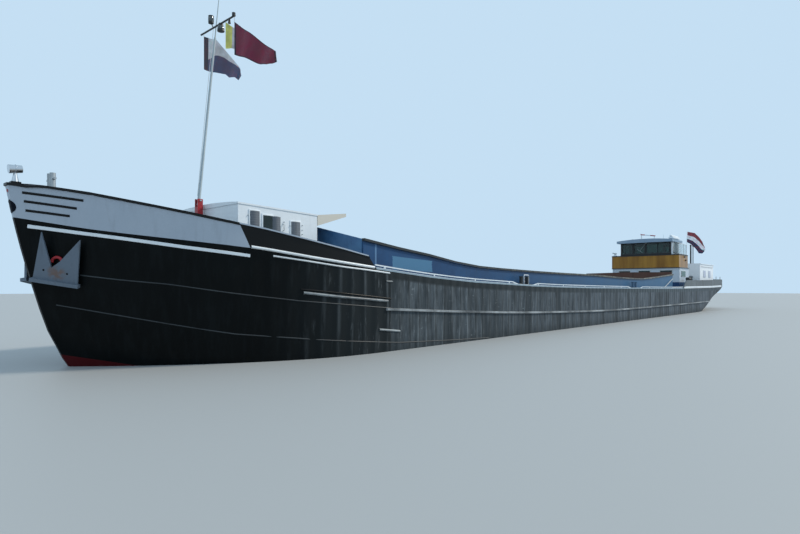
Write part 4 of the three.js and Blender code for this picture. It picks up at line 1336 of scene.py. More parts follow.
@dataclass
class Studio:
    """Camera, soft light and a pale floor at the waterline with an opening for the hull.

    eye is in the frame's metres. stations are the stretches of the hull along which the opening
    follows it, each with its ends and how many points it has. Each sun has its name, where it
    stands, its strength, its width in degrees and its colour.
    """

    eye: tuple[float, float, float] = (-16.926, -8.209, 1.430)
    heading: tuple[float, float] = (0.7479, 0.6638)
    rise: float = 0.0246
    lens: float = 25.2
    floor_reach: float = 90.0
    stations: tuple = ((1505, 9000, 30), (10500, 46500, 12), (47500, 55640, 24))
    suns: tuple = (("key", (0.80, -0.50, 0.75), 2.4, 8, (1.0, 0.92, 0.80)),
                   ("fill", (-0.9, -0.5, 0.5), 0.12, 60, (0.85, 0.93, 1.0)))
    sky: tuple[float, float, float, float] = (0.62, 0.82, 1.0, 1)
    sky_strength: float = 0.9
    floor_grey: tuple[float, float, float, float] = (0.36, 0.37, 0.37, 1)

    def build(self) -> None:
        """Places the camera, the lights and the floor."""
        self.camera()
        self.lights()
        self.floor()

    def camera(self) -> None:
        """A level camera off the port bow, its frame risen as far as the photograph's."""
        gaze = Vector((*self.heading, 0))
        turn = gaze.to_track_quat("-Z", "Y").to_euler()
        bpy.ops.object.camera_add(location=self.eye, rotation=turn)
        camera = bpy.context.object
        camera.name = "camera"
        camera.data.lens = self.lens
        camera.data.sensor_width = 36
        camera.data.shift_y = self.rise
        camera.data.clip_end = 500
        bpy.context.scene.camera = camera

    def lights(self) -> None:
        """A warm key from high on the port quarter, with a pale blue surround."""
        for name, direction, energy, angle, colour in self.suns:
            bpy.ops.object.light_add(type="SUN", location=Vector(direction) * 30,
                                     rotation=Vector(direction).to_track_quat("Z", "Y").to_euler())
            sun = bpy.context.object
            sun.name = name
            sun.data.energy = energy
            sun.data.angle = math.radians(angle)
            sun.data.color = colour
        world = bpy.data.worlds.new("studio")
        world.use_nodes = True
        Graph(world.node_tree).feed(world.node_tree.nodes["Background"],
                                    {"Color": self.sky, "Strength": self.sky_strength})
        bpy.context.scene.world = world
        bpy.context.scene.view_settings.view_transform = "Standard"

    def floor(self) -> None:
        """A wide plane round the hull's outline at the waterline."""
        skin = Skin("hull")
        stations = np.concatenate([np.linspace(*stretch) for stretch in self.stations])
        port = [skin.point(x, WATERLINE / MM, Side.PORT, 4) for x in stations]
        outline = port + [Vector((p.x, -p.y, p.z)) for p in reversed(port)]
        piece = Bench.loop([Vector((p.x, p.y, WATERLINE)) for p in outline], "NOTHING")
        Bench.edit(piece, bpy.ops.mesh.extrude_edges_move)
        chosen = [v for v in piece.data.vertices if v.select]
        for vertex, place in zip(chosen, outline):
            angle = math.atan2(place.y * 6, place.x)
            vertex.co = (self.floor_reach * math.cos(angle), self.floor_reach * math.sin(angle),
                         WATERLINE)
        Bench.outward(Bench.settle("floor"))
        floor = bpy.data.materials.new("studio_floor")
        floor.use_nodes = True
        Graph(floor.node_tree).feed(floor.node_tree.nodes["Principled BSDF"],
                                    {"Base Color": self.floor_grey, "Roughness": 0.6})
        piece.data.materials.append(floor)


class Region(IntEnum):
    """A region of the shell, as its finish's place in the shell's list."""

    SIDES = 0
    DECKS = 1
    LININGS = 2
    BOARDS = 3
    BOTTOM = 4


@dataclass
class Hull:
    """Shell, decks and hold as one smooth skin, with the bars and seams along its sides.

    Each bar has its name, the (x, z) rows of its middle line, its height, how far it stands out
    and its finish. hold is its fore and aft end, half width and top, and engine_space its fore and
    aft end, half width, floor and top.
    """

    bars: tuple = (
        ("second_bar", ((5497, 3720), (6521, 3592), (7623, 3459), (8688, 3376), (9568, 3300)),
         40, 28, BRIGHT_EDGE),
        ("double_bar_upper", ((6284, 2785), (7521, 2671), (9640, 2471)), 34, 20, GLOSS_BLACK),
        ("double_bar_lower", ((6357, 2687), (7522, 2557), (9472, 2396)), 70, 45, WORN_HIGHLIT_EDGE),
        ("short_bar_upper", ((9400, 3038), (9688, 3030)), 40, 30, WORN_HIGHLIT_EDGE),
        ("short_bar_lower", ((9073, 1494), (10058, 1388)), 60, 40, WORN_HIGHLIT_EDGE),
        ("seam_upper", ((1410, 3150), (2155, 3033), (3147, 2918), (4344, 2708), (5186, 2588),
                        (6263, 2450), (7694, 2322), (9640, 2157)), 24, 8, SEAM_LINE),
        ("seam_lower", ((1022, 2392), (3157, 1875), (4529, 1572), (7254, 1258), (10013, 1004),
                        (13398, 860), (15500, 800)), 24, 7, SEAM_LINE),
    )
    deck_edge: tuple = ((4934, 3955), (5679, 3849), (6519, 3724), (7615, 3594), (8856, 3474))
    white_strip: tuple = ((426, 4363), (1318, 4219), (2105, 4100), (3417, 3900), (4907, 3708))
    hold: tuple[float, ...] = (9000, 42400, 3400, 3500)
    engine_space: tuple[float, ...] = (47195, 52705, 1702, 200, 2900)
    deck_level: float = 2600
    bottom_plate: float = 100

    def build(self) -> None:
        """Builds the shell and what is welded on it."""
        shell = reskin("hull", "hull_shell",
                       (HULL_BLACK, DECK_GREY, HOLD_BROWN, FLOOR_WOOD, BOTTOM_BLACK), self.region)
        map_below(shell, SHEER)
        skin, joint = Skin("hull"), Skin("hull", "bow_bulwark")
        for side in Side:
            for name, rows, height, stand, finish in self.bars:
                mount(skin.strip(f"{name}_{side.word}", rows, height, stand, side), finish)
            mount(joint.strip(f"deck_edge_bar_{side.word}", self.deck_edge, 70, 50, side),
                  BRIGHT_EDGE)
            mount(skin.strip(f"white_strip_{side.word}", self.white_strip, 76, 30, side,
                             rounded=False), WHITE_PAINT)
            dress(f"rubbing_strake_{side.word}", STRAKE_BLACK)

    def region(self, x: float, y: float, z: float, normal: Vector) -> Region:
        """Which of the shell's finishes a face takes.

        Args:
            x: how far aft the face's middle is.
            y: how far to starboard it is.
            z: how high it is.
            normal: the face's normal.
        Returns:
            The region.
        """
        front, back, half, top = self.hold
        near, far, beam, low, high = self.engine_space
        level = normal.z > 0.9
        if normal.z < -0.9:
            return Region.BOTTOM
        if level and z > self.deck_level:
            return Region.DECKS
        held = front - 2 <= x <= back + 2 and abs(y) <= half + 2
        if held and self.bottom_plate < z < top:
            return Region.BOARDS if level else Region.LININGS
        if near < x < far and abs(y) < beam and low < z < high:
            return Region.LININGS
        return Region.SIDES


@dataclass
class Bow:
    """The bulwark with its paint, dashes, cap, fairlead, posts, light and anchors.

    Each dash has its ends' (x, z) and its height. lift is how far the rail stands above the packed
    one, as (x, height) rows: the photograph's band is that much higher. The rail is what lies
    within rail_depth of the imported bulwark's top. An anchor's ring has its middle's (x, z), its
    radius and its bar's, and holes are the (x, z) of the holes in an anchor's plate. The fairlead
    and the mark have their middle's height, their width, their height and how far they stand out.
    The searchlight's rim has its middle, the way that it faces, its radius and its bar's.
    """

    dashes: tuple = (((284, 5178), (1375, 5014), 50), ((325, 4970), (1265, 4816), 50),
                     ((365, 4749), (1149, 4626), 50))
    lift: tuple = ((330, 0), (440, 60), (770, 97), (970, 112), (1400, 145), (3300, 147),
                   (3950, 126), (5400, 108), (6250, 80), (7200, 56), (8350, 25), (8700, 0))
    rail_depth: float = 100
    ring: tuple[float, ...] = (1000, 3490, 118, 40)
    holes: tuple = ((678, 3275), (1099, 3178))
    fairlead: Row = (4852, 300, 329, 5)
    mark: Row = (5234, 90, 78, 6)
    rim: tuple = ((215, 0, 5790), (-1, 0, 0), 108, 9)
    finishes: dict[str, Finish] = field(default_factory=lambda: {
        "bow_posts": GALVANISED, "searchlight": CHROME, "windlass_frame": DARK_BLUE,
        "windlass_drum": RUST_CAST, "forepeak_coaming": PALE_PAINT, "forepeak_lid": PALE_PAINT,
        "anchor_port": ANCHOR_PAINT, "anchor_starboard": ANCHOR_PAINT,
    })

    def build(self) -> None:
        """Builds the bulwark and its fittings."""
        for node, finish in self.finishes.items():
            dress(node, finish)
        self.bulwark()
        skin = Skin("bow_bulwark")
        for side in Side:
            mount_joined(f"bow_dashes_{side.word}", [
                skin.strip("dash", (start, end), height, 4, side, rounded=False, steps=10)
                for start, end, height in self.dashes], GLOSS_BLACK)
            self.anchor(side)
        # The fairlead's opening is a dark oval plate: painted shade of the hole.
        mount(skin.patch("stem_fairlead", *self.fairlead), HOLE_SHADE)
        mount(skin.patch("stem_mark", *self.mark), RED_PAINT)
        mount(Bench.ring("searchlight_rim", *self.rim), CHROME)

    def bulwark(self) -> None:
        """The merged bulwark with its rail raised, its inner side painted apart."""
        mesh = reskin("bow_bulwark", "bow_bulwark_skin", (SHADED_BULWARK_PAINT, PALE_PAINT), self.inside)
        map_below(mesh, SHEER, sign=-1)
        map_below(mesh, self.raise_rail(mesh), "rail")

    @staticmethod
    def inside(_: float, y: float, __: float, normal: Vector) -> int:
        """1 for an inner face of the bulwark, away from the stem."""
        return int(abs(normal.z) < 0.8 and normal.y * y < 0 and abs(y) > 120)

    def raise_rail(self, mesh: bpy.types.Mesh) -> list[Row]:
        """Moves the rail up along the bulwark's flare, and gives its new top as (x, z) rows.

        Args:
            mesh: the merged bulwark.
        Returns:
            The rows, from the stem aft.
        """
        skin = Skin("bow_bulwark")
        high, low = 100, 300
        tops = []
        for vertex in mesh.vertices:
            x, y, z = full(vertex.co)
            below = along(SHEER, x) + along(BULWARK_HEIGHT, x) - z
            lift = along(self.lift, x)
            if below < self.rail_depth and lift:
                side = Side.STARBOARD if y > 0 else Side.PORT
                flare = skin.point(x, z - high, side) - skin.point(x, z - low, side)
                vertex.co += flare * lift / (low - high)
            if below < self.rail_depth / 3:
                tops.append((x, z + lift))
        return sorted(tops)

    def anchor(self, side: Side) -> None:
        """The red half ring above an anchor's crown, and dark discs as painted shade in the holes
        of its plate.

        Args:
            side: the anchor's side.
        """
        x, z, radius, bar = self.ring
        skin, plate = Skin("hull"), Skin(f"anchor_{side.word}")
        centre = skin.point(x, z, side, 70)
        normal = (skin.point(x, z, side, 200) - centre).normalized()
        mount(Bench.ring(f"anchor_ring_{side.word}", full(centre), normal, radius, bar, 14, 180),
              RED_PAINT)
        # Black discs fill the plate's holes: painted shade.
        holes = [[full(plate.point(*hole, side, stand)) for stand in (-12, 1)]
                 for hole in self.holes]
        mount_joined(f"anchor_holes_{side.word}",
                     [Bench.rod("hole", *ends, 26, edge=0.5) for ends in holes], GLOSS_BLACK)


@dataclass
class Plain:
    """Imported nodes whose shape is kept, with their finishes."""

    finishes: dict[str, Finish] = field(default_factory=lambda: {
        "stern_bulwark": STERN_GREY, "toe_rail_port": TRIM_WHITE, "toe_rail_starboard": TRIM_WHITE,
        "coaming_fore_end": BLUE_PAINT, "coaming_aft_end": HOLD_BROWN, "engine_casing": DECK_GREY,
        "fore_house_walls": WHITE_PAINT, "fore_house_roof": WHITE_PAINT,
        "fore_house_door": WHITE_PAINT, "fore_house_awning": AWNING, "aft_house_walls": FOOT_WHITE,
        "aft_house_roof": DECK_GREY, "cabin_walls": LIT_CABIN_WHITE, "cabin_roof": LIT_CABIN_WHITE,
        "cabin_door": DOOR_WOOD, "wheelhouse_dodger": DODGER_WOOD, "wheelhouse_shelf": DARK_TRIM,
        "wheelhouse_floor": FLOOR_WOOD, "wheelhouse_door_port": DOOR_WOOD,
        "wheelhouse_door_starboard": DOOR_WOOD, "wheelhouse_roof": ROOF_PAINT,
        "wheelhouse_console": DARK_TRIM, "helm_wheel": DOOR_WOOD, "helm_chair": LEATHER,
        "horns": CHROME, "mast_foot": RED_PAINT, "mast_pole": MAST_PAINT, "mast_yard": DARK_TRIM,
        "ensign_staff": WHITE_PAINT, "stern_tube": BOTTOM_BLACK, "propeller": BRONZE,
        "rudder": BOTTOM_BLACK, "engine": PALE_PAINT,
    })
    bollards: dict[str, Finish] = field(default_factory=lambda: {
        "bow": DARK_PAINT, "fore": DARK_PAINT, "middle": BOLLARD_BLUE, "stern": DARK_PAINT})

    def build(self) -> None:
        """Gives each node its finish."""
        for node, finish in self.finishes.items():
            dress(node, finish)
        for place, finish in self.bollards.items():
            for side in Side:
                dress(f"bollard_{place}_{side.word}", finish)


@dataclass
class Coamings:
    """The hold's two side coamings, blue outside and primed inside, with their steps and struts.

    inner is how far from the centreline the primed side reaches.
    """

    inner: float = 3415
    step: tuple[float, float] = (19238, 19668)
    rungs: Row = (3110, 3260)
    strut: tuple[Row, Row] = ((40199, -3520, 2790), (42246, -3520, 3470))

    def build(self) -> None:
        """Builds both sides and what stands on them."""
        for side in Side:
            map_below(reskin(f"coaming_{side.word}", f"coaming_{side.word}_skin",
                             (COAMING_BLUE, HOLD_BROWN), partial(self.inside, side)), COAMING_TOP)
        y, bend, top = -3560, 32, 3401
        front, back = self.step
        hoop = [(front, y, 2960), (front, y, top - 41), (front + bend, y, top),
                (back - bend, y, top), (back, y, top - 41), (back, y, 2960)]
        mount_pair("coaming_step", [Bench.pipe("hoop", hoop, 22)] + [
            Bench.rod("rung", (front, y, z), (back, y, z), 14) for z in self.rungs], WHITE_PAINT)
        mount_pair("coaming_strut", [Bench.rod("strut", *self.strut, 24)], PALE_PAINT)

    def inside(self, side: Side, _: float, y: float, __: float, normal: Vector) -> int:
        """1 for a face on the hold's side of a coaming."""
        return int(side * normal.y < -0.5 or side * y < self.inner)


class Facing(Enum):
    """The way that a wall faces, with its sign along x."""

    AHEAD = -1
    ABEAM = 0
    AFT = 1


@dataclass(frozen=True)
class Opening:
    """A rectangular opening in a wall.

    The wall's place is its distance to starboard if it faces abeam, and its distance aft if not.
    The opening starts along the wall at start.
    """

    facing: Facing
    wall: float
    start: float
    width: float
    low: float
    high: float

    def corners(self, grow: float, out: float) -> list[Row]:
        """Four places round it, grown outwards and moved out of the wall.

        Args:
            grow: how far they lie outside the opening.
            out: how far they stand out of the wall.
        Returns:
            The full-size places.
        """
        a, b = self.start - grow, self.start + self.width + grow
        low, high = self.low - grow, self.high + grow
        loop = [(a, low), (b, low), (b, high), (a, high)]
        if self.facing is Facing.ABEAM:
            return [(u, self.wall + math.copysign(out, self.wall), v) for u, v in loop]
        return [(self.wall + self.facing.value * out, u, v) for u, v in loop]

    def frame(self) -> Object:
        """A raised frame round it.

        Returns:
            The frame.
        """
        grow, lap = 42, 12
        piece = Bench.loop([at(*place) for place in self.corners(grow, 6)], "NGON")
        Bench.edit(piece, partial(bpy.ops.mesh.inset, thickness=(grow + lap) * MM),
                   partial(bpy.ops.mesh.delete, type="FACE"))
        Bench.settle("window_frame")
        Bench.modify(piece, "SOLIDIFY", thickness=36 * MM, offset=0)
        Bench.modify(piece, "BEVEL", width=6 * MM, segments=2)
        return Bench.smooth(Bench.outward(piece))

    def pane(self) -> Object:
        """The glass in the middle of the wall's opening.

        Returns:
            The glass.
        """
        ends = self.corners(-6, -24) + self.corners(-6, -36)
        low, high = [[pick(p[i] for p in ends) for i in range(3)] for pick in (min, max)]
        return Bench.box("window_pane", low, high, 3, 1)


@dataclass
class Windows:
    """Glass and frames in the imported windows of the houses.

    The fore house's windows have their start, width, foot and top each. The other tables hold the
    places at which equal windows start. A house's beam is half its width over its walls, and a
    face is where its fore or aft wall stands. glass_level is the wheelhouse windows' foot and top.
    """

    fore: tuple = ((5700, 320, 4640, 5135), (6155, 340, 4590, 5050), (7220, 345, 4440, 4935))
    aft_front: Row = (-2230, -450, 1250)
    cabin: Row = (53600, 55400)
    wheelhouse_side: Row = (47050, 48100)
    wheelhouse_front: Row = (-1950, -1000, 50, 1100)
    fore_beam: float = 1930
    aft_beam: float = 2800
    aft_face: float = 46750
    cabin_beam: float = 3000
    wheelhouse_beam: float = 2130
    wheelhouse_faces: tuple[float, float] = (46900, 49240)
    glass_level: tuple[float, float] = (5780, 6630)
    door_pane: tuple[Row, Row] = ((49266, 990, 5786), (49278, 1550, 6464))

    def rows(self) -> dict[str, tuple[list[Opening], Finish, Finish]]:
        """Each house's openings with the finishes of their frames and glass.

        Returns:
            The openings, the frames' finish and the glass's, by house.
        """
        abeam, ahead = Facing.ABEAM, Facing.AHEAD
        front, back = self.wheelhouse_faces
        level = self.glass_level
        return {
            "fore_house": ([Opening(abeam, s * self.fore_beam, *row) for s in Side
                            for row in self.fore], WHITE_PAINT, DARK_GLASS),
            "aft_house_side": ([Opening(abeam, s * self.aft_beam, 47250, 1150, 3720, 4180)
                                for s in Side], PALE_PAINT, GREEN_GLASS),
            "aft_house_front": ([Opening(ahead, self.aft_face, y, 980, 3700, 4250)
                                 for y in self.aft_front], PALE_PAINT, DARK_GLASS),
            "cabin": ([Opening(abeam, s * self.cabin_beam, x, 700, 3750, 4350) for s in Side
                       for x in self.cabin], WHITE_PAINT, DEADLIGHT),
            "wheelhouse": ([Opening(abeam, s * self.wheelhouse_beam, x, 950, *level)
                            for s in Side for x in self.wheelhouse_side]
                           + [Opening(ahead, front, y, 900, *level) for y in self.wheelhouse_front]
                           + [Opening(Facing.AFT, back, -750, 1500, *level)],
                           DARK_TRIM, WINDOW_GLASS),
        }

    def build(self) -> None:
        """Builds the glass of every house and of the wheelhouse doors."""
        for house, (openings, frame_finish, glass) in self.rows().items():
            mount_joined(f"{house}_window_frames", [o.frame() for o in openings], frame_finish)
            mount_joined(f"{house}_panes", [o.pane() for o in openings], glass)
        pane = Bench.box("wheelhouse_door_pane_starboard", *self.door_pane, 3)
        mirrored = Bench.mirrored(pane, "wheelhouse_door_pane_port")
        mount(mirrored, WINDOW_GLASS, "wheelhouse_door_port")
        mount(pane, WINDOW_GLASS, "wheelhouse_door_starboard")


@dataclass
class ForeHouse:
    """Steel lids over the fore house's windows, with their knobs and rails.

    Each lid has its front, back, foot and top, and each knob its (x, z).
    """

    wall: float = -1930
    lids: tuple = ((5697, 6022, 4636, 5140), (6496, 6790, 4590, 5040), (7218, 7568, 4436, 4940))
    knobs: tuple = ((5638, 5000), (6951, 4904), (7184, 4797), (7666, 4850), (7666, 4700),
                    (7666, 4560))

    def build(self) -> None:
        """Builds the lids and fittings of both sides."""
        y = self.wall
        mount_pair("fore_house_lids", [self.lid(*row) for row in self.lids], LID_STEEL)
        fittings = [Bench.rod("knob", (x, y + 10, z), (x, y - 45, z), 18, 12)
                    for x, z in self.knobs]
        fittings.append(Bench.pipe("rail", [(6912, y + 5, 4617), (6912, y - 60, 4640),
                                            (6912, y - 60, 4810), (6912, y + 5, 4838)], 13))
        mount_pair("fore_house_fittings", fittings, PALE_PAINT)

    def lid(self, front: float, back: float, low: float, high: float) -> Object:
        """A bowed and ribbed steel lid on the port wall.

        Args:
            front: its fore edge's x.
            back: its aft edge's x.
            low: its foot.
            high: its top.
        Returns:
            The lid.
        """
        stand, bow, rib, ribs = 22, 60, 3, 7

        def place(u: float, v: float) -> Vector:
            """The lid's face."""
            out = stand + bow * math.sin(u * math.pi) + rib * abs(math.sin(v * math.pi * ribs))
            return at(front + u * (back - front), self.wall - out, low + v * (high - low))

        return Bench.surface("window_lid", 10, 42, place, thickness=14)


@dataclass
class Wheelhouse:
    """Port screen, lamps, sill, wiper and roof gear, with the walls' paint.

    Each of the screen's panes has its two ends, and each lamp its (x, z). A block has two corners
    and its edge, and a rod its ends and its two radii. Each part of the marker bar has its name,
    its two ends across the roof and its finish, and each of its stands its (y, z).
    """

    panes: tuple = ((46785, 47535), (47585, 48335), (48385, 49135))
    lamp_places: tuple = ((48090, 5400), (48453, 5130))
    corner: tuple = ((46868, -2250, 5602), (46990, -2110, 6690), 12)
    sill: tuple = ((46862, -2130, 5602), (46898, 2130, 5776), 10)
    wiper_arm: tuple = ((46868, 457, 5994), (46860, -50, 6660), 9, 7)
    wiper_blade: tuple = ((46866, 250, 5850), (46866, 690, 6160), 9, 9)
    wiper_motor: tuple = ((46820, -110, 6610), (46900, 10, 6680), 14)
    marker_bar: tuple = (("marker_bar_red", (572, 200), RED_PAINT),
                         ("marker_bar_white", (200, -260), WHITE_PAINT),
                         ("marker_bar_end", (-260, -668), RED_PAINT))
    stands: tuple = ((480, 7425), (-580, 7290))
    roof_top: float = 6980
    locker: tuple = ((47180, -2190, 6960), (49080, -1800, 7130), 60, 4)
    cover_roll: tuple = ((47140, -1990, 7200), (49125, -1990, 7170), 95, 85, 20, 26)
    aerials: tuple = ((48500, 900, 7700), (48900, -900, 7500))

    def build(self) -> None:
        """Builds what stands round the wheelhouse."""
        reskin("wheelhouse_walls", "wheelhouse_walls_skin", (PALE_PAINT, DARK_TRIM), self.trimmed)
        self.screen()
        self.lamps()
        self.front()
        self.roof()

    @staticmethod
    def trimmed(x: float, y: float, z: float, _: Vector) -> int:
        """1 for a face round the front glass."""
        return int(x < 46970 and abs(y) < 2115 and z > 5560)

    def screen(self) -> None:
        """A glass side screen on the port shelf, and a post at the front glass's corner."""
        y, inner, front, wall = -2690, -2230, 46760, 46900
        low, high = 5640, 6560
        outline = [(front, y, low), (49160, y, low), (49160, y, high - 90), (front, y, high)]
        fore = [(wall, inner, low), (front, y, low), (front, y, high), (wall, inner, high + 60)]
        bars = [Bench.pipe("edge", outline, 22, closed=True)]
        bars += [Bench.rod("post", (x, y, low), (x, y, high - 40), 20) for x in (47560, 48360)]
        bars.append(Bench.pipe("front_edge", fore, 22, closed=True))
        mount_joined("screen_frames", bars, PALE_PAINT)
        mount_joined("screen_panes", [
            Bench.box("screen_pane", (start, y - 4, low + 24), (end, y + 4, high - 110), 2, 1)
            for start, end in self.panes], CLEAR_GLASS)
        mount(Bench.box("wheelhouse_corner", *self.corner), WHITE_PAINT)

    def lamps(self) -> None:
        """Two dark lamps on each of the dodger's sides."""
        lamps = []
        for x, z in self.lamp_places:
            lamps += [Bench.box("lamp", (x - 60, -2880, z - 55), (x + 60, -2798, z + 55), 18),
                      Bench.rod("lens", (x, -2870, z), (x, -2905, z), 40, 34)]
        mount_pair("dodger_lamps", lamps, DARK_TRIM)

    def front(self) -> None:
        """The dark sill and the wiper on the front glass."""
        mount(Bench.box("wheelhouse_sill", *self.sill), DARK_TRIM)
        mount_joined("wiper", [Bench.rod("arm", *self.wiper_arm),
                               Bench.rod("blade", *self.wiper_blade),
                               Bench.box("motor", *self.wiper_motor)], PALE_PAINT)

    def roof(self) -> None:
        """The striped marker bar, the roof locker with its cover, two aerials and a dome."""
        x, low, low_end, rise, deck = 47400, 7286, -668, 0.145, self.roof_top
        for name, reach, finish in self.marker_bar:
            start, end = [(x, y, low + (y - low_end) * rise) for y in reach]
            mount(Bench.rod(name, start, end, 42), finish)
        mount_joined("marker_bar_stand", [Bench.rod("stand", (x, y, deck), (x, y, z), 18)
                                          for y, z in self.stands], GALVANISED)
        mount_joined("roof_cover", [Bench.box("locker", *self.locker),
                                    Bench.rod("roll", *self.cover_roll)], WHITE_PAINT)
        aerials = [Bench.rod("aerial", (x, y, deck), (x, y, top), 12, 7)
                   for x, y, top in self.aerials]
        dome = Bench.rod("dome", (48200, 1500, deck), (48200, 1500, 7160), 150, 110, 24, 40)
        mount_joined("roof_aerials", aerials + [dome], PALE_PAINT)


@dataclass
class DeckGear:
    """Posts, winch and rails on the after decks, and the stern's white line.

    Each stove pipe has its distance aft, its top and its radius. The winch has its bed's ends, its
    cheeks' ends, and the place of its shaft to starboard and up.
    """

    stern_line: tuple[float, float] = (43270, 55500)
    posts: Row = (55855, 57450)
    stove_pipes: tuple = ((52520, 6689, 66), (53295, 6652, 36))
    winch_bed: tuple[float, float] = (47150, 48250)
    winch_cheeks: tuple = ((47260, 47340), (48060, 48140))
    winch_shaft: tuple[float, float] = (-3280, 3500)

    def build(self) -> None:
        """Builds what stands abaft the hold."""
        skin = Skin("hull", "stern_bulwark")
        rows = [(x, along(SHEER, x) + 55) for x in np.linspace(*self.stern_line, 24)]
        for side in Side:
            mount(skin.strip(f"stern_line_{side.word}", rows, 150, 22, side, rounded=False,
                             steps=36), BRIGHT_EDGE)
        mount_pair("stern_posts", [Bench.rod("post", (x, -3560, 3340), (x, -3560, 3828), 42, 30)
                                   for x in self.posts], PALE_PAINT)
        self.pipes()
        self.winch()
        self.handrails()

    def pipes(self) -> None:
        """Two stove pipes with collars and caps on the cabin's roof."""
        y, pipes = -2200, []
        for x, top, radius in self.stove_pipes:
            pipes += [Bench.rod("pipe", (x, y, 4900), (x, y, top), radius),
                      Bench.rod("collar", (x, y, 4915), (x, y, 5010), radius + 38, radius + 18),
                      Bench.rod("cap", (x, y, top - 60), (x, y, top + 40), radius + 30, 50)]
        mount_joined("stove_pipes", pipes, DARK_PAINT)

    def winch(self) -> None:
        """A small warping winch on the port side deck by the aft house."""
        y, z = self.winch_shaft
        front, back = self.winch_bed
        bed = Bench.box("bed", (front, y - 200, 2740), (back, y + 200, 2860), 12)
        cheeks = [Bench.box("cheek", (start, y - 140, 2850), (end, y + 140, 3640), 30)
                  for start, end in self.winch_cheeks]
        mount_joined("warping_winch", [
            bed, *cheeks, Bench.rod("drum", (47340, y, z), (48060, y, z), 130, 130, 24),
            Bench.rod("shaft", (47053, y, z), (48400, y, z), 40),
            Bench.rod("head", (47080, y, z), (47220, y, z), 110, 80, 20)], DARK_PAINT)

    @staticmethod
    def handrails() -> None:
        """Grab rails along the cabin's roof, on short feet."""
        z, rails = 4700, []
        for side in Side:
            y = side * 3040
            rails.append(Bench.pipe("rail", [(52650, y, z), (57050, y, z)], 16))
            rails += [Bench.rod("foot", (x, side * 2995, z), (x, side * 3045, z), 14)
                      for x in np.linspace(52800, 56900, 6)]
        mount_joined("cabin_handrails", rails, GALVANISED)


@dataclass(frozen=True)
class Cloth:
    """A flag's outline, as (share, along, drop) rows of its upper and lower edges.

    top is its hoist's upper end, heading where it streams in degrees from aft to port, flat its
    size when laid flat, waves how many ripples it has, swing how far they go to each side, and
    belly how far its free end's middle is blown out.
    """

    name: str
    node: str
    top: Row
    heading: float
    upper: tuple[Row, ...]
    lower: tuple[Row, ...]
    flat: tuple[float, float]
    waves: float
    swing: float
    belly: float = 0

    @staticmethod
    def edge(rows: tuple[Row, ...], u: float) -> Vector:
        """The edge's along and drop at a share of its length."""
        return Vector((along(rows, u), along(rows, u, 2)))

    def place(self, u: float, v: float) -> Vector:
        """The cloth's point at shares along it and up it.

        Args:
            u: share along it from the hoist.
            v: share up it.
        Returns:
            The point in the frame.
        """
        angle = math.radians(self.heading)
        aft, port = math.cos(angle), math.sin(angle)
        reach, drop = self.edge(self.lower, u).lerp(self.edge(self.upper, u), v)
        reach += self.belly * math.sin(v * math.pi) * u * u
        ripple = math.sin(self.waves * math.pi * u + 1.8 * (1 - v))
        sideways = self.swing * ripple * min(1, 4 * u)
        x, y, z = self.top
        return at(x + aft * reach + port * sideways, y - port * reach + aft * sideways, z - drop)

    def hang(self, body: str, finish: Finish) -> None:
        """Args:
            body: the body that it rides on.
            finish: its dye.
        """
        piece = Bench.smooth(Bench.surface(self.name, 48, 24, self.place, thickness=5), 180)
        mount(piece, finish, body)
        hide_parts(self.node)
        self.flat[0] * MM
        self.flat[1] * MM


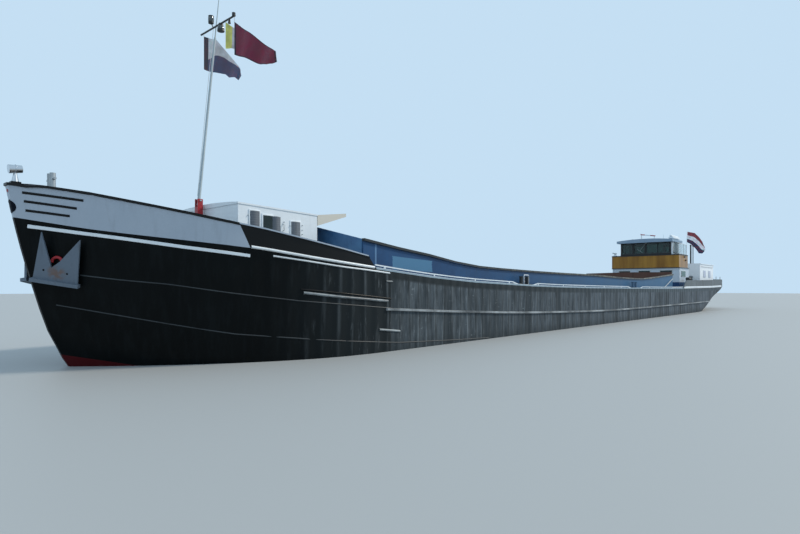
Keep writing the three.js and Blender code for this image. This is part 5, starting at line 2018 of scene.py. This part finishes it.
@dataclass
class Mast:
    """Signal flags as draped cloth, with the halyards and the lamps' glass.

    foot is the mast's (x, z) and yard how far up the mast its yard is. The flags' hoists are given
    by their distance to starboard and their drop under the yard.
    """

    foot: tuple[float, float] = (5120, 5560)
    rake: float = math.radians(6)
    yard: float = 5640
    wind: float = 53
    maroon: tuple[float, float] = (-1223, 185)
    yellow: tuple[float, float] = (-725, 40)
    white_blue: tuple[float, float] = (591, 107)

    def on_mast(self, up: float, side: float = 0, aft: float = 0) -> Row:
        """A place up the raked mast."""
        return (self.foot[0] + math.sin(self.rake) * up + aft, side,
                self.foot[1] + math.cos(self.rake) * up)

    def hoist(self, side: float, drop: float) -> Row:
        """A place under the yard."""
        x, y, z = self.on_mast(self.yard, side, -90)
        return (x, y, z - drop)

    def build(self) -> None:
        """Hangs the flags, the halyards and the glass."""
        self.flags()
        lines = [Bench.pipe("halyard", [self.on_mast(self.yard - 20, side, -40),
                                        self.on_mast(2600, side * 1.02, -30),
                                        self.on_mast(160, side * 0.9, -20)], 7)
                 for side in (-88, 88)]
        lines += [Bench.pipe("toggle_line", [self.hoist(side, 0), self.hoist(side, drop + 20)], 7)
                  for side, drop in (self.maroon, self.yellow, self.white_blue)]
        mount_joined("halyards", lines, PALE_PAINT, "mast")
        x, _, z = self.hoist(0, 0)
        mount_joined("lamp_glass", [
            Bench.rod("lens", (x - 84, 0, z + 170), (x - 84, 0, z + 300), 90, 90, 20),
            Bench.rod("lens", (x, -445, z - 190), (x, -445, z - 90), 112, 92, 20)],
            CLEAR_GLASS, "mast")

    def flags(self) -> None:
        """Hangs the maroon, the yellow and the white and blue flag from the yard."""
        maroon = FlagCloth("maroon_dye", "flag_cloth", ((0.0, 0x6A2240),), hem=(0.035, 0x221C30))
        yellow = FlagCloth("yellow_dye", "flag_cloth", ((0.0, 0xE2E27C), (0.5, 0xC8CCD4)), True)
        white_blue = FlagCloth("white_blue_dye", "flag_cloth",
                               ((-1.0, 0x3E5C7C), (0.28, 0xDCE0E4)), slant=0.67,
                               roll=(0.11, 0x34424E))
        Cloth("flag_maroon_cloth", "flag_maroon", self.hoist(*self.maroon), self.wind,
              ((0, 0, 0), (1, 1320, 985)),
              ((0, 0, 1010), (0.3, 400, 1160), (0.6, 790, 1310), (0.8, 1030, 1370),
               (0.93, 1210, 1330), (1, 1320, 1260)),
              (math.hypot(1320, 1000), 987), 3.6, 75).hang("mast", maroon)
        Cloth("flag_yellow_cloth", "flag_yellow", self.hoist(*self.yellow), self.wind,
              ((0, 0, 0), (1, 420, 300)), ((0, 0, 825), (0.45, 190, 830), (1, 420, 900)),
              (math.hypot(420, 300), 825), 1.5, 30).hang("mast", yellow)
        Cloth("flag_white_blue_cloth", "flag_white_blue", self.hoist(*self.white_blue), self.wind,
              ((0, 0, 0), (0.15, 190, 45), (0.33, 420, 110), (0.66, 830, 600),
               (0.97, 1220, 1060), (1, 1260, 1150)),
              ((0, 0, 1073), (0.25, 315, 1207), (0.55, 693, 1223), (0.67, 840, 1355),
               (0.85, 1070, 1390), (0.94, 1185, 1486), (1, 1260, 1320)),
              (math.hypot(1260, 980), 1073), 3.4, 75).hang("mast", white_blue)


@dataclass
class Stern:
    """The ensign on its staff, its stripes from the foot up."""

    stripes: tuple = ((0.0, 0x1E2A4A), (0.333, 0xDEE4EE), (0.667, 0x6A3440))
    hoist: tuple[float, float, float] = (59770, -70, 8590)

    def build(self) -> None:
        """Hangs the ensign."""
        Cloth("ensign_cloth", "ensign", self.hoist, 90,
              ((0, 0, 0), (0.4, 680, 170), (0.65, 1080, 600), (0.85, 1400, 1120), (1, 1500, 1500)),
              ((0, -60, 1080), (0.3, 350, 1330), (0.6, 750, 1780), (0.85, 1050, 2280),
               (1, 1380, 2330)),
              (math.hypot(1650, 1400), 1210), 2.5, 50, 220).hang(
            "barge", FlagCloth("ensign_dye", "flag_cloth", self.stripes))


def main() -> None:
    """Builds the studio and every sub-assembly in order."""
    logging.basicConfig(level=logging.INFO, format="%(name)s %(message)s")
    Studio().build()
    for assembly in (Plain(), Hull(), Bow(), Coamings(), Windows(), ForeHouse(), Wheelhouse(),
                     DeckGear(), Mast(), Stern()):
        log.info("building %s", type(assembly).__name__)
        assembly.build()


if __name__ == "__main__":
    main()
